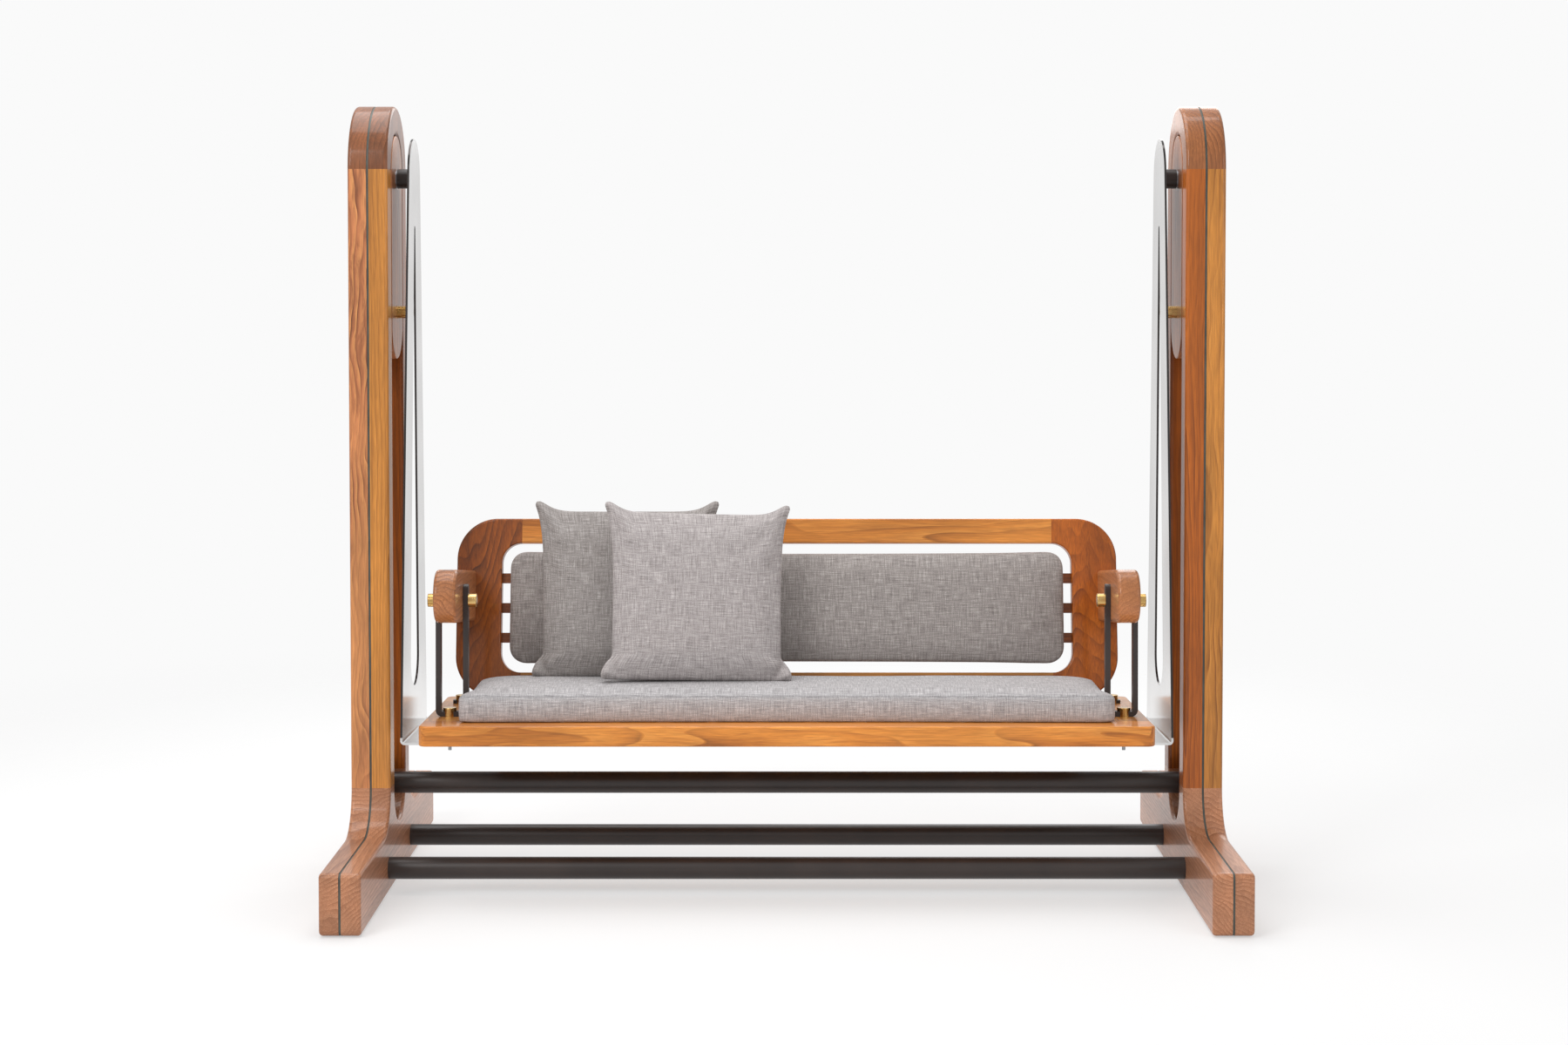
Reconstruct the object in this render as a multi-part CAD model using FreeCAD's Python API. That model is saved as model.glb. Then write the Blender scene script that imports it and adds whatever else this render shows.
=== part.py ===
import FreeCAD, Part
import math
import os

# Free-standing teak swing: two looped side stands joined by three steel tubes,
# and a teak seat with a reclined back that hangs between them on two steel hanger plates.
# X runs across the swing, Y runs to the back, Z is up, and the floor is at zero. Millimetres.
# The hanging parts are drawn square to the hanger plates and then leaned about the hub axis,
# so that their centre of mass hangs under the hubs.

# Side stands
stand_gap = 37.5                # between a hanger plate and the stand beside it
wood_layer = 43.5               # each of the two teak layers of a stand
core_thickness = 5.0            # steel plate between the two layers
stand_height = 1830.0
loop_radius = 152.0             # outer radius of the arch, and half the depth of the loop
slot_radius = 86.0              # half the width of the long slot
slot_low_end = 138.0            # height of the slot's lowest point
foot_half_length = 588.0
foot_height = 140.0
foot_end_radius = 12.0
foot_fillet = 100.0             # hollow between the loop and the foot
foot_joint_height = 240.0       # where the posts are joined to the foot piece
edge_round = 8.0                # rounding along the edges of the teak
core_recess = 1.0               # how far the steel lies inside the teak's outline
pad_thickness = 3.0
pad_length = 90.0
pad_inset = 14.0
pad_end_gap = 24.0

# Hub block in the top of the slot
block_gap = 3.0                 # shadow gap round the block
block_length = 526.0            # from the block's lowest point to its top
block_edge_round = 2.0
web_above_tube = 60.0           # steel web that holds the upper tube, above the tube's axis
web_corner = 30.0

# Axle, bearing and hub
hub_below_arch = 18.0           # from the arch's centre down to the hub axis
axle_radius = 10.0
fit_gap = 0.1                   # radial gap of parts that are fixed in each other
running_gap = 0.05              # radial gap of parts that turn in each other
side_gap = 0.3                  # gap beside parts that turn past each other
housing_radius = 23.0
bush_wall = 5.0
bush_inset = 1.0
thrust_washer_radius = 21.0
thrust_washer_thickness = 2.0
cap_nut_radius = 12.0
cap_nut_length = 20.0
cap_nut_flange_radius = 19.0
cap_nut_flange_thickness = 2.5
axle_end_gap = 1.5

# Brass guide stud below the hub
stud_rise = 110.0               # above the lowest point of the hub block
stud_radius = 14.5
stud_shank_radius = 6.0
stud_plate_gap = 0.8            # running gap between the stud and the hanger plate

# Cross tubes
tube_radius = 25.5
tube_wall = 3.0
low_tube_height = 59.0
low_tube_offset = 178.0         # in front of and behind the middle
upper_tube_height = 224.0
plug_length = 20.0
tube_bolt_radius = 6.0
tube_bolt_head_radius = 11.0
tube_bolt_head = 6.0

# Hanger plates
plate_thickness = 5.0
plate_gap = 43.5                # between the end of the seat and the plate
plate_top_radius = 89.0
plate_top_rise = 5.0            # centre of the rounded top above the hub axis
plate_half_width = 205.0        # at the bend
flange_height = 351.0           # underside of the flange above the floor
flange_length = 180.0
flange_corner = 20.0
bend_radius = 5.0               # inside the bend
cutout_top_drop = 111.0         # below the hub axis
cutout_bottom_rise = 112.0      # above the underside of the flange
cutout_top_radius = 8.0
cutout_bottom_radius = 68.0
rest_lean = 2.0                 # degrees, how the seat hangs forward under the hubs

# Seat
seat_half_width = 836.0
seat_front = -267.0
seat_depth = 534.0
seat_thickness = 46.0
seat_rail_width = 90.0
seat_rear_rail_width = 140.0     # wide enough to carry the straps under the back
seat_end_width = 118.0
seat_corner = 20.0
seat_edge_round = 4.0
slat_thickness = 20.0
slat_ledge = 18.0
slat_width = 84.0
slat_count = 13
joint_gap = 0.2                 # clearance of wood let into wood

# Bolts through the flange into the seat
flange_bolt_radius = 4.0
flange_bolt_head_radius = 7.0
flange_bolt_head = 4.5
flange_bolt_depth = 34.0        # how far the shank goes up into the seat
flange_bolt_inset = 40.0        # from the end of the seat
flange_bolt_setback = 35.0      # from the flange's front and back edges
nut_radius = 6.5
nut_height = 6.5

# Arms, their steel brackets and brass
arm_inset = 31.5                # from the end of the seat to the arm's outer face
arm_thickness = 51.0
arm_height = 122.0
arm_tip = -249.5                # front of the arm
arm_tip_rise = 288.1            # middle of the arm's front above the seat
arm_tilt = 5.0                  # degrees, down to the back against the seat
arm_edge_round = 8.0
bar_thickness = 12.0
bar_width = 24.0
bar_place = -92.0               # middle of the bar, front to back
bar_bend_radius = 4.0
bar_gap = 0.3
arm_bolt_height = 270.0         # above the seat
bar_above_bolt = 38.0
arm_bolt_radius = 5.0
brass_radius = 15.5
brass_cap_length = 19.0
brass_edge = 1.5
knob_height = 20.0
knob_stud_radius = 4.0
knob_stud_below = 28.0          # how far the stud shows below the seat
rear_strap_place = 139.0
rear_strap_inset = 30.0         # from the end of the seat
rear_strap_length = 157.0
rear_strap_thickness = 8.0
rear_strap_corner = 5.5
rear_spacer_inset = 23.0        # from the strap's inner end

# Backrest frame
back_bottom_rise = 16.0         # above the seat
back_foot_place = 118.4         # front face of the back at its foot
back_recline = 8.0              # degrees against the seat
back_inset = 36.0               # from the end of the seat
back_height = 432.0
back_thickness = 38.0
back_rail = 60.0
back_stile = 109.0
back_corner = 98.0
back_opening_corner = 48.0
back_edge_round = 5.0
back_slat_height = 24.0
back_slat_thickness = 15.0
back_slat_setback = 20.0
back_slat_pitch = 72.0
back_slat_count = 3
tenon_length = 15.0
arm_screw_radius = 4.0
arm_screw_head_radius = 8.0
arm_screw_head = 5.0
arm_screw_reach = 60.0
arm_screw_spread = 30.0         # from the arm's middle line

# Soft pieces
seat_cushion_inset = 83.5       # from the end of the seat
seat_cushion_front = -219.0
seat_cushion_side_height = 68.0
seat_cushion_crown = 20.0
seat_cushion_draw = 14.0        # how far the sides pull in between the corners
seat_cushion_corner = 24.0
seat_cushion_back_gap = 0.5
back_cushion_side_gap = 22.0    # inside the opening of the back, at the left and the right
back_cushion_end_gap = 20.0     # inside the opening of the back, above and below
back_cushion_core = 44.0
back_cushion_crown = 16.0
back_cushion_draw = 4.0
back_cushion_corner = 42.0
cushion_edge = 7.0
soft_gap = 0.4
pillow_half_width = 226.0
pillow_half_height = 206.0
pillow_draw = 14.0              # how far the top and the foot are drawn in between the ears
pillow_side_draw = 26.0
pillow_half_thickness = 47.0
pillow_ear = 7.0
rear_pillow_inset = 450.0       # from the left end of the seat to the pillow's middle
rear_pillow_setback = 43.7      # in front of the back frame's face, to the pillow's middle
rear_pillow_sink = 13.3         # its lower ears lie below the top of the cushion's crown
front_pillow_shift = 172.0      # to the right of the rear pillow's middle
front_pillow_setback = 91.7     # in front of the rear pillow's middle
front_pillow_sink = 21.6
front_pillow_tilt = 6.0         # degrees against the back
front_pillow_turn = 7.0         # degrees about the upright

# Heights and faces worked out from the sizes above
cut_over = 5.0                  # overrun of every cut
plate_inner_face = seat_half_width + plate_gap
plate_outer_face = plate_inner_face + plate_thickness
stand_inner_face = plate_outer_face + stand_gap
stand_core_face = stand_inner_face + wood_layer
stand_outer_layer = stand_core_face + core_thickness
stand_outer_face = stand_outer_layer + wood_layer
arch_centre = stand_height - loop_radius
slot_top = arch_centre + slot_radius
slot_low_centre = slot_low_end + slot_radius
foot_bottom = pad_thickness
block_radius = slot_radius - block_gap
block_bottom = arch_centre + block_radius - block_length
block_low_centre = block_bottom + block_radius
hub_height = arch_centre - hub_below_arch
stud_height = block_bottom + stud_rise
flange_under = flange_height
flange_top = flange_under + plate_thickness
bend_top = flange_top + bend_radius
seat_under = flange_top
seat_top = seat_under + seat_thickness
seat_back = seat_front + seat_depth
arm_outer_face = seat_half_width - arm_inset
arm_inner_face = arm_outer_face - arm_thickness
inner_bar_outer = arm_inner_face - bar_gap
inner_bar_inner = inner_bar_outer - bar_thickness
outer_bar_inner = arm_outer_face + bar_gap
outer_bar_outer = outer_bar_inner + bar_thickness
knob_place = outer_bar_inner - bar_bend_radius - brass_radius - bar_gap
arm_bolt_z = seat_top + arm_bolt_height
back_foot_z = seat_top + back_bottom_rise
arm_radius = arm_height / 2
rear_strap_outer = seat_half_width - rear_strap_inset
rear_strap_inner = rear_strap_outer - rear_strap_length
rear_spacer_place = rear_strap_inner + rear_spacer_inset
back_half_width = seat_half_width - back_inset
back_opening_half = back_half_width - back_stile
seat_cushion_half_width = seat_half_width - seat_cushion_inset
back_cushion_half_width = back_opening_half - back_cushion_side_gap
back_cushion_half_height = back_height / 2 - back_rail - back_cushion_end_gap
rear_pillow_place = rear_pillow_inset - seat_half_width
front_pillow_place = rear_pillow_place + front_pillow_shift
bush_radius = axle_radius + running_gap + bush_wall
housing_end = stand_inner_face - side_gap - thrust_washer_thickness - side_gap

hub_point = FreeCAD.Vector(0, 0, hub_height)
along_x = FreeCAD.Vector(1, 0, 0)
along_y = FreeCAD.Vector(0, 1, 0)
along_z = FreeCAD.Vector(0, 0, 1)
origin = FreeCAD.Vector(0, 0, 0)


def box(x0, x1, y0, y1, z0, z1):
    return Part.makeBox(x1 - x0, y1 - y0, z1 - z0, FreeCAD.Vector(x0, y0, z0))


def rod_x(radius, x0, x1, y, z):
    return Part.makeCylinder(radius, x1 - x0, FreeCAD.Vector(x0, y, z), along_x)


def rod_y(radius, y0, y1, x, z):
    return Part.makeCylinder(radius, y1 - y0, FreeCAD.Vector(x, y0, z), along_y)


def rod_z(radius, z0, z1, x, y):
    return Part.makeCylinder(radius, z1 - z0, FreeCAD.Vector(x, y, z0), along_z)


def hexagon_z(radius, z0, z1, x, y):
    corners = []
    for step in range(7):
        turn = math.radians(60 * step)
        corners.append(FreeCAD.Vector(x + radius * math.cos(turn), y + radius * math.sin(turn), z0))
    return Part.Face(Part.makePolygon(corners)).extrude(FreeCAD.Vector(0, 0, z1 - z0))


def in_yz(x):
    return lambda u, v: FreeCAD.Vector(x, u, v)


def in_xz(y):
    return lambda u, v: FreeCAD.Vector(u, y, v)


def in_xy(z):
    return lambda u, v: FreeCAD.Vector(u, v, z)


# A closed outline from corners (u, v, radius); each corner is rounded by a tangent arc
def outline(corners, place):
    starts = []
    arcs = []
    ends = []
    count = len(corners)
    for i in range(count):
        u, v, radius = corners[i]
        before = corners[i - 1]
        after = corners[(i + 1) % count]
        to_before = math.atan2(before[1] - v, before[0] - u)
        to_after = math.atan2(after[1] - v, after[0] - u)
        if radius == 0:
            starts.append((u, v))
            arcs.append(None)
            ends.append((u, v))
            continue
        half = abs(math.remainder(to_after - to_before, 2 * math.pi)) / 2
        reach = radius / math.tan(half)
        middle = to_before + math.remainder(to_after - to_before, 2 * math.pi) / 2
        depth = radius / math.sin(half) - radius
        starts.append((u + reach * math.cos(to_before), v + reach * math.sin(to_before)))
        arcs.append((u + depth * math.cos(middle), v + depth * math.sin(middle)))
        ends.append((u + reach * math.cos(to_after), v + reach * math.sin(to_after)))
    edges = []
    for i in range(count):
        if arcs[i]:
            edges.append(Part.Arc(place(*starts[i]), place(*arcs[i]), place(*ends[i])).toShape())
        following = starts[(i + 1) % count]
        if math.dist(ends[i], following) > fit_gap / 1000:
            edges.append(Part.LineSegment(place(*ends[i]), place(*following)).toShape())
    return Part.Wire(edges)


def slab_x(corners, x0, x1):
    return Part.Face(outline(corners, in_yz(x0))).extrude(FreeCAD.Vector(x1 - x0, 0, 0))


def slab_y(corners, y0, y1):
    return Part.Face(outline(corners, in_xz(y0))).extrude(FreeCAD.Vector(0, y1 - y0, 0))


def slab_z(corners, z0, z1):
    return Part.Face(outline(corners, in_xy(z0))).extrude(FreeCAD.Vector(0, 0, z1 - z0))


def rectangle(u0, u1, v0, v1, radius):
    return [(u0, v0, radius), (u1, v0, radius), (u1, v1, radius), (u0, v1, radius)]


# Rounds every edge of a slab that lies in the plane of its face at this X
def round_face_x(shape, x, radius):
    edges = []
    for edge in shape.Edges:
        limits = edge.BoundBox
        if abs(limits.XMin - x) < fit_gap and abs(limits.XMax - x) < fit_gap:
            edges.append(edge)
    return shape.makeFillet(radius, edges)


def round_face_y(shape, y, radius):
    edges = []
    for edge in shape.Edges:
        limits = edge.BoundBox
        if abs(limits.YMin - y) < fit_gap and abs(limits.YMax - y) < fit_gap:
            edges.append(edge)
    return shape.makeFillet(radius, edges)


def round_face_z(shape, z, radius):
    edges = []
    for edge in shape.Edges:
        limits = edge.BoundBox
        if abs(limits.ZMin - z) < fit_gap and abs(limits.ZMax - z) < fit_gap:
            edges.append(edge)
    return shape.makeFillet(radius, edges)


def mirrored(shape):
    return shape.mirror(origin, along_x)


def leaned(shape):
    turned = shape.copy()
    turned.rotate(hub_point, along_x, -rest_lean)
    return turned


# The back is drawn upright with its front face at Y zero and its foot at Z zero
def reclined(shape):
    turned = shape.copy()
    turned.rotate(origin, along_x, -back_recline)
    turned.translate(FreeCAD.Vector(0, back_foot_place, back_foot_z))
    return turned


nodes = {}


def add(name, *solids):
    nodes[name] = Part.makeCompound(list(solids)) if len(solids) > 1 else solids[0]


def add_pair(name, right):
    add("right_" + name, right)
    add("left_" + name, mirrored(right))


# Outline of a stand: foot, hollow fillets and the arch; inset shrinks it all round
def stand_outline(inset):
    half = foot_half_length - inset
    loop = loop_radius - inset
    top = foot_height - inset
    return [
        (-half, foot_bottom + inset, foot_end_radius - inset),
        (half, foot_bottom + inset, foot_end_radius - inset),
        (half, top, foot_end_radius - inset),
        (loop, top, foot_fillet + inset),
        (loop, stand_height - inset, loop),
        (-loop, stand_height - inset, loop),
        (-loop, top, foot_fillet + inset),
        (-half, top, foot_end_radius - inset),
    ]


def slot_outline(grow):
    half = slot_radius + grow
    return rectangle(-half, half, slot_low_end - grow, slot_top + grow, half)


def block_outline(inset):
    half = block_radius - inset
    return rectangle(-half, half, block_bottom + inset, arch_centre + half, half)


# One teak layer of the right stand, rounded on its show face, cut into its four pieces
def stand_layer(x0, x1, show_face):
    layer = slab_x(stand_outline(0), x0, x1).cut(slab_x(slot_outline(0), x0 - cut_over, x1 + cut_over))
    layer = round_face_x(layer, show_face, edge_round)
    for y in (-low_tube_offset, low_tube_offset):
        bolt_hole = rod_x(tube_bolt_radius + fit_gap, x0 - cut_over, x1 + cut_over, y, low_tube_height)
        layer = layer.cut(bolt_hole)
    deep = foot_half_length + cut_over
    left = x0 - cut_over
    right = x1 + cut_over
    above = stand_height + cut_over
    return {
        "arch": layer.common(box(left, right, -deep, deep, arch_centre, above)),
        "front_post": layer.common(box(left, right, -deep, 0, foot_joint_height, arch_centre)),
        "rear_post": layer.common(box(left, right, 0, deep, foot_joint_height, arch_centre)),
        "foot": layer.common(box(left, right, -deep, deep, 0, foot_joint_height)),
    }


def hub_block():
    block_slabs = []
    for x0, x1, show_face in (
        (stand_inner_face, stand_core_face, stand_inner_face),
        (stand_outer_layer, stand_outer_face, stand_outer_face),
    ):
        half_block = round_face_x(slab_x(block_outline(0), x0, x1), show_face, block_edge_round)
        half_block = half_block.cut(rod_x(axle_radius + fit_gap, x0 - cut_over, x1 + cut_over, 0, hub_height))
        half_block = half_block.cut(
            rod_x(stud_shank_radius + fit_gap, x0 - cut_over, stand_core_face, 0, stud_height)
        )
        block_slabs.append(half_block)
    return block_slabs


# Steel core: fills the hub block's outline and leaves a web round the upper tube's end
def core_plate():
    x0 = stand_core_face
    x1 = stand_outer_layer
    core = slab_x(stand_outline(core_recess), x0, x1)
    half = slot_radius + core_recess
    opening_bottom = upper_tube_height + web_above_tube
    opening = slab_x(
        [
            (-half, opening_bottom, web_corner),
            (half, opening_bottom, web_corner),
            (half, block_low_centre, 0),
            (-half, block_low_centre, 0),
        ],
        x0 - cut_over,
        x1 + cut_over,
    )
    opening = opening.cut(slab_x(block_outline(core_recess), x0 - 2 * cut_over, x1 + 2 * cut_over))
    core = core.cut(opening)
    core = core.cut(rod_x(axle_radius + fit_gap, x0 - cut_over, x1 + cut_over, 0, hub_height))
    for y, z in tube_places():
        core = core.cut(rod_x(tube_bolt_radius + fit_gap, x0 - cut_over, x1 + cut_over, y, z))
    return core


def tube_places():
    return [
        (-low_tube_offset, low_tube_height),
        (low_tube_offset, low_tube_height),
        (0, upper_tube_height),
    ]


def tube_end(z):
    return stand_core_face if z == upper_tube_height else stand_inner_face


def cross_tube(y, z):
    end = tube_end(z)
    outside = rod_x(tube_radius, -end, end, y, z)
    return outside.cut(rod_x(tube_radius - tube_wall, -end - cut_over, end + cut_over, y, z))


def tube_plug(y, z):
    end = tube_end(z)
    plug = rod_x(tube_radius - tube_wall - fit_gap, end - plug_length, end, y, z)
    return plug.cut(rod_x(tube_bolt_radius + fit_gap, end - plug_length - cut_over, end + cut_over, y, z))


# Domed head: a short cylinder with its outer edge rounded over
def domed_head(radius, x0, length, y, z):
    head = rod_x(radius, x0, x0 + length, y, z)
    return round_face_x(head, x0 + length, min(radius, length) / 2)


def tube_bolt(y, z):
    seat = stand_outer_layer if z == upper_tube_height else stand_outer_face
    shank = rod_x(tube_bolt_radius, tube_end(z) - plug_length, seat + tube_bolt_head / 2, y, z)
    return shank.fuse(domed_head(tube_bolt_head_radius, seat, tube_bolt_head, y, z)).removeSplitter()


def make_stands():
    inner = stand_layer(stand_inner_face, stand_core_face, stand_inner_face)
    outer = stand_layer(stand_outer_layer, stand_outer_face, stand_outer_face)
    for part in ("arch", "front_post", "rear_post", "foot"):
        add_pair("inner_" + part, inner[part])
        add_pair("outer_" + part, outer[part])
    add_pair("core_plate", core_plate())
    blocks = hub_block()
    add("right_hub_block", *blocks)
    add("left_hub_block", *[mirrored(half) for half in blocks])
    front, rear, upper = [cross_tube(y, z) for y, z in tube_places()]
    add("low_cross_tubes", front, rear)
    add("upper_cross_tube", upper)
    plugs = []
    bolts = []
    for y, z in tube_places():
        plugs += [tube_plug(y, z), mirrored(tube_plug(y, z))]
        bolts += [tube_bolt(y, z), mirrored(tube_bolt(y, z))]
    add("tube_end_plugs", *plugs)
    add("tube_bolts", *bolts)
    pads = []
    outer_end = foot_half_length - pad_end_gap
    for y0 in (-outer_end, outer_end - pad_length):
        pad_corners = rectangle(
            stand_inner_face + pad_inset, stand_outer_face - pad_inset, y0, y0 + pad_length, edge_round
        )
        pad = slab_z(pad_corners, 0, pad_thickness)
        pads += [pad, mirrored(pad)]
    add("foot_pads", *pads)


# The axle is fixed in the hub block; the housing and its bush turn on it with the hanger
def make_hubs():
    axle_start = plate_outer_face + axle_end_gap
    nut_seat = stand_outer_face
    nut_face = nut_seat + cap_nut_flange_thickness
    axle_end = nut_face + cap_nut_length / 2
    axle = rod_x(axle_radius, axle_start, axle_end, 0, hub_height)
    add("axles", axle, mirrored(axle))
    nut = rod_x(cap_nut_flange_radius, nut_seat, nut_face, 0, hub_height)
    nut = nut.fuse(domed_head(cap_nut_radius, nut_face, cap_nut_length, 0, hub_height))
    nut = nut.cut(rod_x(axle_radius + fit_gap, nut_seat - cut_over, axle_end + fit_gap, 0, hub_height))
    add("axle_cap_nuts", nut, mirrored(nut))
    washer_start = housing_end + side_gap
    washer = rod_x(thrust_washer_radius, washer_start, washer_start + thrust_washer_thickness, 0, hub_height)
    washer = washer.cut(
        rod_x(axle_radius + running_gap, washer_start - cut_over, stand_inner_face, 0, hub_height)
    )
    add("thrust_washers", washer, mirrored(washer))
    stud_end = plate_outer_face + stud_plate_gap
    stud = rod_x(stud_radius, stud_end, stand_inner_face, 0, stud_height)
    stud = round_face_x(stud, stud_end, brass_edge)
    stud = stud.fuse(rod_x(stud_shank_radius, stand_inner_face - side_gap, stand_core_face, 0, stud_height))
    add("guide_studs", stud.removeSplitter(), mirrored(stud.removeSplitter()))
    housing = rod_x(housing_radius, plate_outer_face, housing_end, 0, hub_height)
    housing = housing.cut(
        rod_x(bush_radius + fit_gap, plate_outer_face - cut_over, housing_end + cut_over, 0, hub_height)
    )
    bush = rod_x(bush_radius, plate_outer_face + bush_inset, housing_end - bush_inset, 0, hub_height)
    bush = bush.cut(rod_x(axle_radius + running_gap, plate_outer_face, housing_end, 0, hub_height))
    add("bearing_housings", leaned(housing), leaned(mirrored(housing)))
    add("bearing_bushes", leaned(bush), leaned(mirrored(bush)))


# Tapered plate: a round top, straight sides to the bend, and a drop-shaped cut-out
def plate_profile():
    bottom = bend_top
    centre = hub_height + plate_top_rise
    reach = math.hypot(plate_half_width, centre - bottom)
    taper = math.atan2(plate_half_width, centre - bottom) - math.asin(plate_top_radius / reach)
    apex = centre + plate_top_radius / math.sin(taper)
    return [(-plate_half_width, bottom, 0), (plate_half_width, bottom, 0), (0, apex, plate_top_radius)]


def drop_cutout(x0, x1):
    top = hub_height - cutout_top_drop - cutout_top_radius
    low = flange_under + cutout_bottom_rise + cutout_bottom_radius
    taper = math.asin((cutout_bottom_radius - cutout_top_radius) / (top - low))
    place = in_yz(x0)
    side = math.cos(taper)
    rise = math.sin(taper)
    top_right = place(cutout_top_radius * side, top + cutout_top_radius * rise)
    top_left = place(-cutout_top_radius * side, top + cutout_top_radius * rise)
    low_right = place(cutout_bottom_radius * side, low + cutout_bottom_radius * rise)
    low_left = place(-cutout_bottom_radius * side, low + cutout_bottom_radius * rise)
    edges = [
        Part.Arc(top_right, place(0, top + cutout_top_radius), top_left).toShape(),
        Part.LineSegment(top_left, low_left).toShape(),
        Part.Arc(low_left, place(0, low - cutout_bottom_radius), low_right).toShape(),
        Part.LineSegment(low_right, top_right).toShape(),
    ]
    return Part.Face(Part.Wire(edges)).extrude(FreeCAD.Vector(x1 - x0, 0, 0))


def flange_bolt_places():
    x = seat_half_width - flange_bolt_inset
    y = plate_half_width - flange_bolt_setback
    return [(x, -y), (x, y), (plate_outer_face - flange_length + flange_bolt_inset, -y)] + [
        (plate_outer_face - flange_length + flange_bolt_inset, y)
    ]


def hanger_plate():
    web = slab_x(plate_profile(), plate_inner_face, plate_outer_face)
    web = web.cut(drop_cutout(plate_inner_face - cut_over, plate_outer_face + cut_over))
    end = plate_outer_face - flange_length
    bend = slab_y(
        [
            (end, flange_under, 0),
            (plate_outer_face, flange_under, bend_radius + plate_thickness),
            (plate_outer_face, bend_top, 0),
            (plate_inner_face, bend_top, 0),
            (plate_inner_face, flange_top, bend_radius),
            (end, flange_top, 0),
        ],
        -plate_half_width,
        plate_half_width,
    )
    trimmed = slab_z(
        [
            (end, -plate_half_width, flange_corner),
            (plate_outer_face + cut_over, -plate_half_width, 0),
            (plate_outer_face + cut_over, plate_half_width, 0),
            (end, plate_half_width, flange_corner),
        ],
        flange_under - cut_over,
        bend_top + cut_over,
    )
    plate = web.fuse(bend.common(trimmed)).removeSplitter()
    for x, y in flange_bolt_places():
        plate = plate.cut(
            rod_z(flange_bolt_radius + fit_gap, flange_under - cut_over, flange_top + cut_over, x, y)
        )
    for x, y in ((knob_place, bar_place), (knob_place, rear_strap_place)):
        plate = plate.cut(
            rod_z(knob_stud_radius + fit_gap, flange_under - cut_over, flange_top + cut_over, x, y)
        )
    return plate


def flange_bolt(x, y):
    shank = rod_z(flange_bolt_radius, flange_under - fit_gap, seat_under + flange_bolt_depth, x, y)
    head = rod_z(flange_bolt_head_radius, flange_under - flange_bolt_head, flange_under, x, y)
    head = round_face_z(head, flange_under - flange_bolt_head, flange_bolt_head / 2)
    return shank.fuse(head).removeSplitter()


# Seat frame: a ring of four rails rounded outside, with a ledge inside for the slats
def make_seat():
    ring = slab_z(
        rectangle(-seat_half_width, seat_half_width, seat_front, seat_back, seat_corner), seat_under, seat_top
    )
    ring = round_face_z(ring, seat_top, seat_edge_round)
    ring = round_face_z(ring, seat_under, seat_edge_round)
    end_x = seat_half_width - seat_end_width
    rail_front = seat_front + seat_rail_width
    rail_back = seat_back - seat_rear_rail_width
    ring = ring.cut(box(-end_x, end_x, rail_front, rail_back, seat_under - cut_over, seat_top + cut_over))
    ledge = seat_top - slat_thickness
    ring = ring.cut(
        box(-end_x, end_x, rail_front - slat_ledge, rail_back + slat_ledge, ledge, seat_top + cut_over)
    )
    for x, y in flange_bolt_places():
        hole_top = seat_under + flange_bolt_depth + fit_gap
        hole = rod_z(flange_bolt_radius + fit_gap, seat_under - cut_over, hole_top, x, y)
        ring = ring.cut(hole).cut(mirrored(hole))
    for x, y in ((knob_place, bar_place), (knob_place, rear_strap_place)):
        hole = rod_z(knob_stud_radius + fit_gap, seat_under - cut_over, seat_top + cut_over, x, y)
        ring = ring.cut(hole).cut(mirrored(hole))
    wide = seat_half_width + cut_over
    low = seat_under - cut_over
    high = seat_top + cut_over
    front = ring.common(box(-wide, wide, seat_front - cut_over, rail_front, low, high))
    rear = ring.common(box(-wide, wide, rail_back, seat_back + cut_over, low, high))
    end = ring.common(box(end_x, wide, rail_front, rail_back, low, high))
    add("seat_front_rail", leaned(front))
    add("seat_rear_rail", leaned(rear))
    add("right_seat_end", leaned(end))
    add("left_seat_end", leaned(mirrored(end)))
    slats = []
    pitch = (2 * end_x - slat_width - 2 * joint_gap) / (slat_count - 1)
    for i in range(slat_count):
        x = -end_x + joint_gap + i * pitch
        slat = box(
            x,
            x + slat_width,
            rail_front - slat_ledge + joint_gap,
            rail_back + slat_ledge - joint_gap,
            ledge,
            seat_top,
        )
        slats.append(leaned(slat))
    add("seat_slats", *slats)


def make_hangers():
    plate = hanger_plate()
    add("right_hanger_plate", leaned(plate))
    add("left_hanger_plate", leaned(mirrored(plate)))
    bolts = []
    for x, y in flange_bolt_places():
        bolt = flange_bolt(x, y)
        bolts += [leaned(bolt), leaned(mirrored(bolt))]
    add("flange_bolts", *bolts)


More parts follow.
